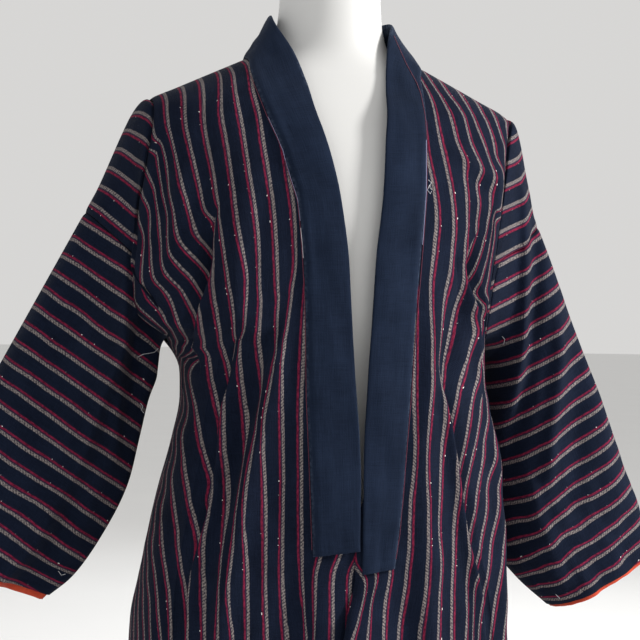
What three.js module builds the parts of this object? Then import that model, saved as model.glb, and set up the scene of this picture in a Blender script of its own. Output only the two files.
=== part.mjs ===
// Noragi jacket worn by a limbless dress form on a round stand.
// Millimetres, +Z up, the front faces -Y, the wearer's right is -X.
// The origin is the middle of the stand's underside.
import * as THREE from 'three';

// Driving dimensions
const panelWall = 1.5;
const collarWall = 2.6;
const sleeveWall = 1.5;
const liningWall = 1.0;
const seamGap = 0.3;
const collarGap = 0.8;
const sleeveGap = 0.8;
const edgeStrip = 8;
const neckStrip = 22;
const ridgeAtNeck = { x: 86, z: 930 };
const ridgeAtSleeve = { x: 180, z: 885 };
const armpitHeight = 655;
const ringPower = 2.3;
const ringCentreY = -5;
const slopeFadesBelow = 650;
const meanDepth = 125;
const collarEnds = { right: 464, left: 450 };
const lapFade = 50;
const panelColumns = 11;
const sleevePoints = 20;
const formPoints = 36;
const poleRadius = 12;
const baseRadius = 150;
const baseHeight = 12;
const formBottom = 340;

// Materials
const stripedCotton = new THREE.MeshStandardMaterial({ color: 0x252f45, roughness: 0.9, metalness: 0 });
const collarCotton = new THREE.MeshStandardMaterial({ color: 0x2a3850, roughness: 0.88, metalness: 0 });
const redLining = new THREE.MeshStandardMaterial({ color: 0xb8342a, roughness: 0.85, metalness: 0 });
const formPlastic = new THREE.MeshStandardMaterial({ color: 0xeeeeec, roughness: 0.45, metalness: 0 });
const standMetal = new THREE.MeshStandardMaterial({ color: 0xc9cacb, roughness: 0.35, metalness: 1 });

const shoulderWidthPerDrop = (ridgeAtSleeve.x - ridgeAtNeck.x) / (ridgeAtNeck.z - ridgeAtSleeve.z);
const ridgeWidth = (z) => ridgeAtNeck.x + shoulderWidthPerDrop * (ridgeAtNeck.z - z);

// Outline of the worn cloth at each height: half widths to the wearer's right and left, depths front and back
const clothRings = [
  { z: 940, right: 80, left: 80, front: 64, back: 64 },
  { z: 930, right: ridgeWidth(930), left: ridgeWidth(930), front: 69, back: 69 },
  { z: 920, right: ridgeWidth(920), left: ridgeWidth(920), front: 77, back: 77 },
  { z: 908, right: ridgeWidth(908), left: ridgeWidth(908), front: 85, back: 83 },
  { z: 896, right: ridgeWidth(896), left: ridgeWidth(896), front: 92, back: 88 },
  { z: 885, right: ridgeWidth(885), left: ridgeWidth(885), front: 97, back: 91 },
  { z: 872, right: 193, left: 194, front: 103, back: 95 },
  { z: 850, right: 192, left: 193, front: 112, back: 99 },
  { z: 800, right: 184, left: 186, front: 124, back: 106 },
  { z: 740, right: 175, left: 178, front: 130, back: 112 },
  { z: 700, right: 168, left: 172, front: 133, back: 114 },
  { z: 655, right: 160, left: 168, front: 135, back: 115 },
  { z: 625, right: 151, left: 168, front: 137, back: 115 },
  { z: 600, right: 149, left: 170, front: 138, back: 115 },
  { z: 560, right: 157, left: 176, front: 139, back: 116 },
  { z: 500, right: 168, left: 182, front: 141, back: 118 },
  { z: 440, right: 178, left: 188, front: 142, back: 120 },
  { z: 380, right: 186, left: 190, front: 144, back: 122 },
  { z: 250, right: 190, left: 193, front: 147, back: 126 },
  { z: 110, right: 194, left: 197, front: 150, back: 130 },
];

// Armhole edge as a share of the cloth's half width
const armholeEdge = [
  { z: 885, share: 1.0 },
  { z: 882, share: 0.99 },
  { z: 878, share: 0.97 },
  { z: 870, share: 0.945 },
  { z: 858, share: 0.932 },
  { z: 845, share: 0.93 },
  { z: 800, share: 0.945 },
  { z: 740, share: 0.955 },
  { z: 700, share: 0.974 },
  { z: 655, share: 1.0 },
];

// Free edge of each front panel below the neckband, as a distance from the middle on its own side
const freeEdge = {
  right: [{ z: 110, x: 10 }, { z: 180, x: 9 }, { z: 250, x: 8 }, { z: 320, x: 7.5 }, { z: 385, x: 7 },
    { z: 430, x: 5 }, { z: 460, x: 3 }, { z: 464, x: 41 }],
  left: [{ z: 110, x: -9 }, { z: 180, x: -11 }, { z: 250, x: -13 }, { z: 320, x: -12 }, { z: 385, x: -9 },
    { z: 430, x: -1 }, { z: 447, x: 4 }, { z: 451, x: 38 }],
};

// Heights of a panel's back rows below the neck, down the centre back seam
const backHeights = [914, 902, 886, 866, 836, 800, 755, 705, 655, 600, 540, 470, 390, 300, 200, 110];

// Sections of the neckband from its front end to the back of the neck. x is the distance from the middle.
// Where freeY is not given the band lies on the chest.
const collarSections = {
  right: [
    { seamX: 40, seamZ: 466, freeX: -2, freeZ: 471 },
    { seamX: 43.5, seamZ: 542, freeX: -2, freeZ: 545 },
    { seamX: 47, seamZ: 605, freeX: 2.5, freeZ: 605 },
    { seamX: 49, seamZ: 668, freeX: 7, freeZ: 668 },
    { seamX: 52, seamZ: 735, freeX: 11, freeZ: 735 },
    { seamX: 57, seamZ: 785, freeX: 17.5, freeZ: 785 },
    { seamX: 65, seamZ: 812, freeX: 24, freeZ: 818 },
    { seamX: 73, seamZ: 840, freeX: 31.5, freeZ: 847 },
    { seamX: 81, seamZ: 861, freeX: 38, freeZ: 870 },
    { seamX: 89, seamZ: 888, freeX: 42.5, freeZ: 898, freeY: -89 },
    { seamX: 91.5, seamZ: 908, freeX: 50, freeZ: 928, freeY: -70 },
    { seamX: 88.5, seamZ: 924, freeX: 61, freeZ: 958, freeY: -43 },
  ],
  left: [
    { seamX: 36.5, seamZ: 454, freeX: 4.5, freeZ: 450 },
    { seamX: 43, seamZ: 515, freeX: 4.6, freeZ: 515 },
    { seamX: 47, seamZ: 570, freeX: 4.8, freeZ: 570 },
    { seamX: 51, seamZ: 627, freeX: 7.4, freeZ: 627 },
    { seamX: 54.6, seamZ: 679, freeX: 11, freeZ: 678 },
    { seamX: 60, seamZ: 744, freeX: 15, freeZ: 738 },
    { seamX: 65, seamZ: 795, freeX: 21.6, freeZ: 790 },
    { seamX: 68.7, seamZ: 840, freeX: 26, freeZ: 840 },
    { seamX: 70.5, seamZ: 868, freeX: 30, freeZ: 868 },
    { seamX: 71.5, seamZ: 893, freeX: 35, freeZ: 895, freeY: -88 },
    { seamX: 73, seamZ: 909, freeX: 41, freeZ: 925, freeY: -68 },
    { seamX: 79, seamZ: 922, freeX: 50, freeZ: 957, freeY: -43 },
  ],
  back: [
    { seamX: 86, seamZ: 930, freeX: 60, freeZ: 973, freeY: -16, seamY: -5 },
    { seamX: 77, seamZ: 928.2, freeX: 56, freeZ: 977, freeY: 12 },
    { seamX: 58, seamZ: 926, freeX: 46, freeZ: 977, freeY: 38 },
    { seamX: 30, seamZ: 923.5, freeX: 26, freeZ: 975, freeY: 56 },
  ],
  middle: { seamX: 0, seamZ: 921.5, freeX: 0, freeZ: 974, freeY: 62 },
};

// Main folds of the panels, seen from the front or the back: the points that a fold runs through as x and z,
// its half width, and how far the cloth stands out (or falls in, below zero)
const panelFolds = [
  { panel: 'right', face: 'front', path: [[-141, 764], [-127, 690]], width: 16, out: -12 },
  { panel: 'right', face: 'front', path: [[-113, 760], [-108, 690]], width: 18, out: 5 },
  { panel: 'right', face: 'front', path: [[-104, 670], [-120, 560], [-146, 386], [-150, 60]], width: 17, out: -10 },
  { panel: 'right', face: 'front', path: [[-66, 660], [-92, 550], [-120, 390], [-126, 60]], width: 19, out: 9 },
  { panel: 'right', face: 'front', path: [[-70, 470], [-80, 60]], width: 20, out: -7 },
  { panel: 'right', face: 'front', path: [[-6, 425], [-8, 60]], width: 30, out: -2 },
  { panel: 'left', face: 'front', path: [[135, 770], [114, 700], [92, 600], [126, 412], [134, 60]], width: 16, out: -8 },
  { panel: 'left', face: 'front', path: [[124, 640], [148, 430]], width: 18, out: 7 },
  { panel: 'left', face: 'front', path: [[66, 690], [80, 470], [92, 60]], width: 18, out: 7 },
  { panel: 'left', face: 'front', path: [[46, 430], [56, 60]], width: 18, out: -7 },
  { panel: 'left', face: 'front', path: [[-8, 425], [-10, 60]], width: 24, out: 7 },
  { panel: 'right', face: 'back', path: [[-128, 770], [-98, 560], [-88, 60]], width: 20, out: -8 },
  { panel: 'right', face: 'back', path: [[-130, 620], [-132, 60]], width: 22, out: 9 },
  { panel: 'right', face: 'back', path: [[-46, 600], [-50, 60]], width: 22, out: 7 },
  { panel: 'left', face: 'back', path: [[134, 760], [104, 540], [98, 60]], width: 20, out: -8 },
  { panel: 'left', face: 'back', path: [[138, 600], [144, 60]], width: 22, out: 9 },
  { panel: 'left', face: 'back', path: [[52, 620], [60, 60]], width: 22, out: 7 },
];

// Sleeves: a section at each distance down the top edge. bottom is the under-arm point, depth the half
// thickness front to back, back how far the under-arm edge lies behind the top edge.
const sleeves = {
  right: {
    side: -1, top: { x: -180, z: 885 }, cuff: { x: -397, z: 469 }, seamAt: 122,
    sections: [
      { along: 0, bottomX: -160.4, bottomZ: 655, depth: 50, back: 0 },
      { along: 30, bottomX: -161, bottomZ: 652, depth: 50, back: 2 },
      { along: 60, bottomX: -161.5, bottomZ: 648, depth: 48, back: 4 },
      { along: 122, bottomX: -162, bottomZ: 637, depth: 46, back: 8 },
      { along: 180, bottomX: -163, bottomZ: 620, depth: 44, back: 12 },
      { along: 251, bottomX: -171, bottomZ: 594, depth: 43, back: 14 },
      { along: 290, bottomX: -179, bottomZ: 557, depth: 42, back: 14 },
      { along: 328, bottomX: -188, bottomZ: 518, depth: 41, back: 12 },
      { along: 392, bottomX: -216, bottomZ: 461, depth: 40, back: 8 },
      { along: 438, bottomX: -243, bottomZ: 425, depth: 38, back: 4 },
      { along: 469, bottomX: -263, bottomZ: 410, depth: 37, back: 0 },
    ],
  },
  left: {
    side: 1, top: { x: 180, z: 885 }, cuff: { x: 364.5, z: 445 }, seamAt: 114,
    sections: [
      { along: 0, bottomX: 168.4, bottomZ: 655, depth: 50, back: 0 },
      { along: 30, bottomX: 171, bottomZ: 652, depth: 50, back: 3 },
      { along: 60, bottomX: 173, bottomZ: 647, depth: 48, back: 6 },
      { along: 114, bottomX: 174.5, bottomZ: 635, depth: 46, back: 10 },
      { along: 180, bottomX: 175, bottomZ: 616, depth: 45, back: 14 },
      { along: 256, bottomX: 177, bottomZ: 592, depth: 44, back: 16 },
      { along: 300, bottomX: 182, bottomZ: 556, depth: 43, back: 16 },
      { along: 350, bottomX: 189, bottomZ: 500, depth: 42, back: 16 },
      { along: 409, bottomX: 196, bottomZ: 440, depth: 40, back: 12 },
      { along: 440, bottomX: 214, bottomZ: 415, depth: 38, back: 6 },
      { along: 477, bottomX: 246, bottomZ: 387, depth: 36, back: 0 },
    ],
  },
};
const armholeBlend = 105;
const upperSteps = 6;
const lowerSteps = 12;
const liningSteps = 2;
const liningShows = 2.5;

// Folds round the sleeves: turn is in degrees from the top edge over the front
const sleeveFolds = [
  { sleeve: 'right', turn0: 128, along0: 150, turn1: 112, along1: 430, width: 20, out: 6 },
  { sleeve: 'right', turn0: 85, along0: 90, turn1: 70, along1: 400, width: 22, out: -4 },
  { sleeve: 'right', turn0: 235, along0: 90, turn1: 245, along1: 420, width: 24, out: -5 },
  { sleeve: 'left', turn0: 96, along0: 40, turn1: 118, along1: 330, width: 18, out: 7 },
  { sleeve: 'left', turn0: 136, along0: 120, turn1: 150, along1: 380, width: 18, out: -7 },
  { sleeve: 'left', turn0: 62, along0: 190, turn1: 74, along1: 400, width: 16, out: 5 },
  { sleeve: 'left', turn0: 240, along0: 90, turn1: 246, along1: 420, width: 24, out: -5 },
];

// Limbless form: half width, depths front and back of its middle at each height
const formRings = [
  { z: 340, half: 138, front: 110, back: 92 },
  { z: 344, half: 144, front: 116, back: 98 },
  { z: 356, half: 148, front: 120, back: 102 },
  { z: 400, half: 150, front: 122, back: 104 },
  { z: 480, half: 145, front: 120, back: 100 },
  { z: 560, half: 137, front: 116, back: 96 },
  { z: 620, half: 135, front: 118, back: 98 },
  { z: 690, half: 146, front: 122, back: 101 },
  { z: 750, half: 156, front: 121, back: 101 },
  { z: 800, half: 163, front: 115, back: 98 },
  { z: 840, half: 168, front: 106, back: 94 },
  { z: 862, half: 170, front: 97, back: 91 },
  { z: 876, half: 168, front: 90, back: 88 },
  { z: 886, half: 162, front: 84, back: 85 },
  { z: 896, half: 149, front: 78, back: 81 },
  { z: 908, half: 126, front: 71, back: 75 },
  { z: 918, half: 102, front: 65, back: 69 },
  { z: 927, half: 80, front: 61, back: 64 },
  { z: 937, half: 66, front: 58, back: 60 },
  { z: 950, half: 57, front: 56, back: 57 },
  { z: 970, half: 52, front: 54, back: 53 },
  { z: 1000, half: 50, front: 52, back: 51 },
  { z: 1034, half: 50, front: 52, back: 51 },
  { z: 1040, half: 46, front: 48, back: 47 },
];

// Value of one column of a table at a height or distance, by straight steps between its rows
function lookUp(table, key, at, column) {
  const rows = [...table].sort((a, b) => a[key] - b[key]);
  if (at <= rows[0][key]) return rows[0][column];
  for (let i = 1; i < rows.length; i += 1) {
    if (at <= rows[i][key]) {
      const share = (at - rows[i - 1][key]) / (rows[i][key] - rows[i - 1][key]);
      return rows[i - 1][column] + share * (rows[i][column] - rows[i - 1][column]);
    }
  }
  return rows[rows.length - 1][column];
}

function smoothStep(share) {
  const t = Math.min(1, Math.max(0, share));
  return t * t * (3 - 2 * t);
}

// Front (-Y) or back (+Y) of the worn cloth's outer face at a place seen from the front
function clothY(x, z, face) {
  const half = lookUp(clothRings, 'z', z, x < 0 ? 'right' : 'left');
  const depth = lookUp(clothRings, 'z', z, face);
  const share = Math.min(1, Math.abs(x) / half);
  const out = depth * (1 - share ** ringPower) ** (1 / ringPower);
  return ringCentreY + (face === 'front' ? -out : out);
}

function distanceToPath(x, z, path) {
  let nearest = Infinity;
  for (let i = 1; i < path.length; i += 1) {
    const [startX, startZ] = path[i - 1];
    const dx = path[i][0] - startX;
    const dz = path[i][1] - startZ;
    const share = ((x - startX) * dx + (z - startZ) * dz) / (dx * dx + dz * dz);
    const t = Math.min(1, Math.max(0, share));
    nearest = Math.min(nearest, Math.hypot(x - startX - t * dx, z - startZ - t * dz));
  }
  return nearest;
}

// How far the folds push the cloth out at a place
function foldOut(panel, face, x, z) {
  let out = 0;
  for (const fold of panelFolds) {
    if (fold.panel === panel && fold.face === face) {
      out += fold.out * Math.exp(-((distanceToPath(x, z, fold.path) / fold.width) ** 2));
    }
  }
  return out;
}

// Unit normals of rows of points that have the same count. closedRows joins each row's end to its start,
// outward is 1 or -1 for the side that faces out, and before and after are the rows past a seam, if any.
// The first point of an open row takes its neighbour's normal, because the neck edge runs slanting.
function rowNormals(rows, outward, closedRows, before, after) {
  const count = rows[0].length;
  const last = rows.length - 1;
  const across = (j, i) => rows[j][closedRows ? (i + count) % count : Math.min(count - 1, Math.max(0, i))];
  const next = (j, i) => (j < last ? rows[j + 1][i] : (after ?? rows[last])[i]);
  const previous = (j, i) => (j > 0 ? rows[j - 1][i] : (before ?? rows[0])[i]);
  return rows.map((row, j) => row.map((_, k) => {
    const i = closedRows ? k : Math.max(1, k);
    const sideways = new THREE.Vector3().subVectors(across(j, i + 1), across(j, i - 1));
    const along = new THREE.Vector3().subVectors(next(j, i), previous(j, i));
    return new THREE.Vector3().crossVectors(sideways, along).normalize().multiplyScalar(outward);
  }));
}

function movedOut(rows, normals, distance) {
  return rows.map((row, j) => row.map((point, i) => point.clone().addScaledVector(normals[j][i], distance)));
}

// A closed wall whose outer face runs through the rows
function wall(rows, thickness, outward, closedRows = false, before = undefined, after = undefined) {
  const count = rows[0].length;
  const last = rows.length - 1;
  const outer = rows.flat();
  const inner = movedOut(rows, rowNormals(rows, outward, closedRows, before, after), -thickness).flat();
  const positions = [...outer, ...inner].flatMap((point) => [point.x, point.y, point.z]);
  const out = (j, i) => j * count + (i % count);
  const into = (j, i) => outer.length + j * count + (i % count);
  const index = [];
  const quad = (a, b, c, d) => {
    if (outward > 0) index.push(a, b, c, a, c, d);
    else index.push(a, c, b, a, d, c);
  };
  const spans = closedRows ? count : count - 1;
  for (let i = 0; i < spans; i += 1) {
    for (let j = 0; j < last; j += 1) {
      quad(out(j, i), out(j, i + 1), out(j + 1, i + 1), out(j + 1, i));
      quad(into(j, i), into(j + 1, i), into(j + 1, i + 1), into(j, i + 1));
    }
    quad(out(0, i + 1), out(0, i), into(0, i), into(0, i + 1));
    quad(out(last, i), out(last, i + 1), into(last, i + 1), into(last, i));
  }
  if (!closedRows) {
    const end = count - 1;
    for (let j = 0; j < last; j += 1) {
      quad(out(j, 0), out(j + 1, 0), into(j + 1, 0), into(j, 0));
      quad(out(j + 1, end), out(j, end), into(j, end), into(j + 1, end));
    }
  }
  const geometry = new THREE.BufferGeometry();
  geometry.setAttribute('position', new THREE.Float32BufferAttribute(positions, 3));
  geometry.setIndex(index);
  return geometry;
}

// Neckband
const collarAcross = [0, 0.33, 0.67, 1];
const collarProud = 0.9;

function collarPoint(section, face, sign, across) {
  const seam = new THREE.Vector3(sign * section.seamX, 0, section.seamZ);
  seam.y = section.seamY ?? clothY(seam.x, seam.z, face);
  const free = new THREE.Vector3(sign * section.freeX, 0, section.freeZ);
  free.y = section.freeY ?? clothY(free.x, free.z, 'front');
  const point = new THREE.Vector3().lerpVectors(seam, free, across);
  if (section.freeY === undefined) point.y = clothY(point.x, point.z, 'front') - collarProud;
  return point;
}

function smoothBetween(a, b, c, d, t) {
  const point = new THREE.Vector3();
  for (const axis of ['x', 'y', 'z']) {
    const m0 = (c[axis] - a[axis]) / 2;
    const m1 = (d[axis] - b[axis]) / 2;
    const t2 = t * t;
    const t3 = t2 * t;
    point[axis] = (2 * t3 - 3 * t2 + 1) * b[axis] + (t3 - 2 * t2 + t) * m0
      + (3 * t2 - 2 * t3) * c[axis] + (t3 - t2) * m1;
  }
  return point;
}

// Rows of the neckband from the right front end round the neck to the left front end, seam edge first
function collarRows() {
  const half = (side, sign) => ['front', 'back'].flatMap((face) => (
    collarSections[face === 'front' ? side : 'back'].map(
      (section) => collarAcross.map((across) => collarPoint(section, face, sign, across)),
    )));
  const middle = collarAcross.map((across) => collarPoint(collarSections.middle, 'back', 1, across));
  const sections = [...half('right', -1), middle, ...half('left', 1).reverse()];
  const rows = [];
  for (let s = 0; s < sections.length - 1; s += 1) {
    const before = sections[Math.max(0, s - 1)];
    const after = sections[Math.min(sections.length - 1, s + 2)];
    for (const t of [0, 0.5]) {
      rows.push(sections[s].map((_, i) => smoothBetween(before[i], sections[s][i], sections[s + 1][i], after[i], t)));
    }
  }
  rows.push(sections[sections.length - 1]);
  return rows;
}

// Seam edge of the neckband on one side: from the front end to the ridge, and from the ridge to the middle
function collarSeam(panel) {
  const rows = collarRows().map((row) => row[0]);
  const middle = (rows.length - 1) / 2;
  const side = panel === 'right' ? rows.slice(0, middle + 1) : rows.slice(middle).reverse();
  const ridge = side.findIndex((point) => point.z >= ridgeAtNeck.z);
  return { front: side.slice(0, ridge), back: side.slice(ridge + 1) };
}

// One row of a body panel, from its inner edge to its side seam or armhole
function panelRow(panel, face, innerX, height, stripX = innerX + edgeStrip, neckY = undefined) {
  const sign = panel === 'right' ? -1 : 1;
  const slope = smoothStep((height - slopeFadesBelow) / (ridgeAtNeck.z - slopeFadesBelow));
  const drop = (ridgeAtNeck.z - ridgeAtSleeve.z) * slope;
  const edgeZ = height - drop;
  const half = lookUp(clothRings, 'z', edgeZ, panel);
  const share = edgeZ > armpitHeight ? lookUp(armholeEdge, 'z', edgeZ, 'share') : 1;
  const turnAt = (x) => Math.asin((Math.abs(x) / half) ** (ringPower / 2)) * Math.sign(x);
  const startTurn = turnAt(stripX);
  const endTurn = Math.asin(share ** (ringPower / 2));
  const points = [];
  for (let i = 0; i < panelColumns; i += 1) {
    const step = i / (panelColumns - 1);
    const onStrip = Math.max(0, (i - 1) / (panelColumns - 2));
    const turn = i === 0 ? turnAt(innerX) : startTurn + (endTurn - startTurn) * onStrip;
    const x = sign * half * Math.sign(turn) * Math.abs(Math.sin(turn)) ** (2 / ringPower);
    const beyondNeck = Math.max(0, (Math.abs(x) - ridgeAtNeck.x) / (ridgeAtSleeve.x - ridgeAtNeck.x));
    const z = height - drop * beyondNeck;
    const underBand = face === 'front' ? smoothStep(1 - (collarEnds[panel] - height) / lapFade) : 1;
    const nearSeam = smoothStep(step / 0.15);
    const edgeFade = (1 - underBand * (1 - nearSeam)) * smoothStep((1 - step) / 0.2);
    const pushed = foldOut(panel, face, x, z) * edgeFade;
    const y = step === 0 && neckY !== undefined ? neckY : clothY(x, z, face);
    const outwards = new THREE.Vector2(x / half ** 2, (y - ringCentreY) / meanDepth ** 2).normalize();
    const sideSeam = step === 1 ? seamGap * (face === 'front' ? -1 : 1) : 0;
    points.push(new THREE.Vector3(x + outwards.x * pushed, y + outwards.y * pushed + sideSeam, z));
  }
  return points;
}

// The row along the top of the shoulder
function ridgeRow(panel) {
  const sign = panel === 'right' ? -1 : 1;
  const start = ridgeAtNeck.x + collarGap;
  const points = [];
  for (let i = 0; i < panelColumns; i += 1) {
    const x = start + ((ridgeAtSleeve.x - start) * i) / (panelColumns - 1);
    const z = ridgeAtNeck.z - (x - ridgeAtNeck.x) / shoulderWidthPerDrop;
    points.push(new THREE.Vector3(sign * x, ringCentreY, z));
  }
  return points;
}

// Front hem to ridge to back hem, with a row at each row of the neckband's seam
function bodyPanel(panel) {
  const seam = collarSeam(panel);
  const rows = [
    ...freeEdge[panel].map(({ x, z }) => panelRow(panel, 'front', x, z, collarSections[panel][0].seamX + edgeStrip)),
    ...seam.front.map(({ x, z }) => panelRow(panel, 'front', Math.abs(x) + collarGap, z)),
    ridgeRow(panel),
    ...seam.back.map(({ x, y, z }) => (
      panelRow(panel, 'back', Math.abs(x) + collarGap, z, Math.abs(x) + neckStrip, y + collarGap))),
    ...backHeights.map((z) => panelRow(panel, 'back', seamGap, z, neckStrip)),
  ];
  return wall(rows, panelWall, panel === 'right' ? -1 : 1);
}

// Ring of the armhole just outside the body panel's edge
function armholePoint(side, turn) {
  const panel = side < 0 ? 'right' : 'left';
  const middle = (ridgeAtSleeve.z + armpitHeight) / 2;
  const half = (ridgeAtSleeve.z - armpitHeight) / 2;
  const z = middle + half * Math.cos(turn);
  const width = lookUp(clothRings, 'z', z, panel);
  const x = side * (width * lookUp(armholeEdge, 'z', z, 'share'));
  const front = turn < Math.PI;
  const onEdge = Math.abs(Math.sin(turn)) < 1e-6;
  const y = onEdge ? ringCentreY : clothY(x, z, front ? 'front' : 'back');
  return new THREE.Vector3(x + side * 2 * seamGap, y, z);
}

function sleeveFoldOut(name, turn, along) {
  let out = 0;
  for (const fold of sleeveFolds) {
    if (fold.sleeve === name) {
      const share = (along - fold.along0) / (fold.along1 - fold.along0);
      const t = Math.min(1, Math.max(0, share));
      const centre = fold.turn0 + t * (fold.turn1 - fold.turn0);
      const ends = smoothStep((along - fold.along0 + 40) / 60) * smoothStep((fold.along1 + 60 - along) / 60);
      const steps = (THREE.MathUtils.radToDeg(turn) - centre) / fold.width;
      out += fold.out * Math.exp(-steps * steps) * ends;
    }
  }
  return out;
}

function sleeveEnd(name) {
  const { sections } = sleeves[name];
  return sections[sections.length - 1].along;
}

// Ring of points round a sleeve at a distance down its top edge
function sleeveRing(name, along) {
  const sleeve = sleeves[name];
  const direction = new THREE.Vector3(sleeve.cuff.x - sleeve.top.x, 0, sleeve.cuff.z - sleeve.top.z).normalize();
  const top = new THREE.Vector3(sleeve.top.x + sleeve.side * 2 * seamGap, ringCentreY, sleeve.top.z);
  top.addScaledVector(direction, along);
  const column = (key) => lookUp(sleeve.sections, 'along', along, key);
  const bottom = new THREE.Vector3(column('bottomX'), ringCentreY + column('back'), column('bottomZ'));
  const middle = new THREE.Vector3().addVectors(top, bottom).multiplyScalar(0.5);
  const half = new THREE.Vector3().subVectors(top, bottom).multiplyScalar(0.5);
  const halfLength = half.length();
  const blend = smoothStep(along / armholeBlend);
  const points = [];
  for (let k = 0; k < sleevePoints; k += 1) {
    const turn = (2 * Math.PI * k) / sleevePoints;
    const fold = sleeveFoldOut(name, turn, along) * blend;
    const reach = (halfLength + fold * Math.abs(Math.cos(turn))) / halfLength;
    const depth = column('depth') + fold;
    const section = middle.clone().addScaledVector(half, Math.cos(turn) * reach);
    section.y -= depth * Math.sin(turn);
    const start = armholePoint(sleeve.side, turn);
    start.x += sleeve.side * along * 0.25 * (0.5 + 0.5 * Math.cos(turn));
    points.push(new THREE.Vector3().lerpVectors(start, section, blend));
  }
  return points;
}

function sleeveRows(name, from, to, steps) {
  const rows = [];
  for (let s = 0; s <= steps; s += 1) rows.push(sleeveRing(name, from + ((to - from) * s) / steps));
  return rows;
}

// The rings next to a sleeve's seam, and the seam's ring moved along the cloth by a signed distance
function seamRings(name, distance) {
  const { seamAt } = sleeves[name];
  const above = sleeveRing(name, seamAt * (1 - 1 / upperSteps));
  const below = sleeveRing(name, seamAt + (sleeveEnd(name) - seamAt) / lowerSteps);
  const ring = sleeveRing(name, seamAt);
  const seam = ring.map((point, i) => {
    const round = new THREE.Vector3().subVectors(ring[(i + 1) % sleevePoints], ring.at(i - 1)).normalize();
    const onwards = new THREE.Vector3().subVectors(below[i], above[i]).projectOnPlane(round).normalize();
    return point.clone().addScaledVector(onwards, distance);
  });
  return { above, seam, below };
}

function sleeveUpper(name) {
  const { side, seamAt } = sleeves[name];
  const { seam, below } = seamRings(name, -sleeveGap / 2);
  const rows = sleeveRows(name, 0, seamAt, upperSteps);
  rows[rows.length - 1] = seam;
  return wall(rows, sleeveWall, side, true, undefined, below);
}

function sleeveLower(name) {
  const { side, seamAt } = sleeves[name];
  const { above, seam } = seamRings(name, sleeveGap / 2);
  const rows = sleeveRows(name, seamAt, sleeveEnd(name), lowerSteps);
  rows[0] = seam;
  return wall(rows, sleeveWall, side, true, above);
}

// The lining follows the last rings of the sleeve, moved in, and shows past the cuff
function cuffLining(name) {
  const { side, seamAt } = sleeves[name];
  const end = sleeveEnd(name);
  const step = (end - seamAt) / lowerSteps;
  const rows = sleeveRows(name, end - liningSteps * step, end, liningSteps);
  const normals = rowNormals(rows, side, true, sleeveRing(name, end - (liningSteps + 1) * step));
  const inside = movedOut(rows, normals, -sleeveWall - seamGap);
  const lastRow = inside[inside.length - 1];
  const beforeLast = inside[inside.length - 2];
  inside.push(lastRow.map((point, i) => {
    const onwards = new THREE.Vector3().subVectors(point, beforeLast[i]).normalize();
    return point.clone().addScaledVector(onwards, liningShows);
  }));
  return wall(inside, liningWall, side, true);
}

// Solid of stacked rings, closed by a flat face below and above
function dressForm() {
  const positions = [];
  const index = [];
  for (const ring of formRings) {
    for (let k = 0; k < formPoints; k += 1) {
      const turn = (2 * Math.PI * k) / formPoints;
      const side = Math.cos(turn);
      const front = Math.sin(turn);
      const depth = front < 0 ? ring.front : ring.back;
      const round = 2 / (ring.z > ridgeAtNeck.z ? 2 : ringPower);
      positions.push(Math.sign(side) * ring.half * Math.abs(side) ** round);
      positions.push(ringCentreY + Math.sign(front) * depth * Math.abs(front) ** round);
      positions.push(ring.z);
    }
  }
  const last = formRings.length - 1;
  for (let j = 0; j < last; j += 1) {
    for (let k = 0; k < formPoints; k += 1) {
      const a = j * formPoints + k;
      const b = j * formPoints + ((k + 1) % formPoints);
      index.push(a, b, b + formPoints, a, b + formPoints, a + formPoints);
    }
  }
  for (const ring of [0, last]) {
    const centre = positions.length / 3;
    positions.push(0, ringCentreY, formRings[ring].z);
    for (let k = 0; k < formPoints; k += 1) {
      const a = ring * formPoints + k;
      const b = ring * formPoints + ((k + 1) % formPoints);
      if (ring === 0) index.push(centre, b, a);
      else index.push(centre, a, b);
    }
  }
  const geometry = new THREE.BufferGeometry();
  geometry.setAttribute('position', new THREE.Float32BufferAttribute(positions, 3));
  geometry.setIndex(index);
  return geometry;
}

function turned(profile, segments) {
  const geometry = new THREE.LatheGeometry(profile.map(([r, z]) => new THREE.Vector2(r, z)), segments);
  geometry.rotateX(Math.PI / 2);
  return geometry;
}

// Pole with a flange under the form and another on the base
function formPole() {
  const flangeRadius = 36;
  const flangeHeight = 6;
  return turned([
    [0, baseHeight], [flangeRadius, baseHeight], [flangeRadius, baseHeight + flangeHeight],
    [poleRadius, baseHeight + flangeHeight + 4], [poleRadius, formBottom - flangeHeight],
    [flangeRadius, formBottom - flangeHeight], [flangeRadius, formBottom], [0, formBottom],
  ], 24);
}

function formBase() {
  const edge = 4;
  return turned([
    [0, 0], [baseRadius - 1, 0], [baseRadius, 1], [baseRadius, baseHeight - edge],
    [baseRadius - edge, baseHeight], [0, baseHeight],
  ], 48);
}

const part = new THREE.Group();

function add(name, geometry, material) {
  const mesh = new THREE.Mesh(geometry, material);
  mesh.name = name;
  part.add(mesh);
}

add('dress_form', dressForm(), formPlastic);
add('form_pole', formPole(), standMetal);
add('form_base', formBase(), standMetal);
for (const side of ['right', 'left']) {
  add(`body_${side}`, bodyPanel(side), stripedCotton);
  add(`sleeve_${side}_upper`, sleeveUpper(side), stripedCotton);
  add(`sleeve_${side}_lower`, sleeveLower(side), stripedCotton);
  add(`cuff_lining_${side}`, cuffLining(side), redLining);
}
add('collar', wall(collarRows(), collarWall, 1), collarCotton);

export default part;
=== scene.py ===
# Noragi jacket on a limbless dress form, dressed for rendering.
# Tables are in millimetres or in pixels of the 640 x 640 photograph. The scene is in metres, +Z up,
# the front faces -Y and the wearer's right is -X.
import math

import bpy
import numpy as np
from mathutils import Matrix, Vector
from mathutils.bvhtree import BVHTree


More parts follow.
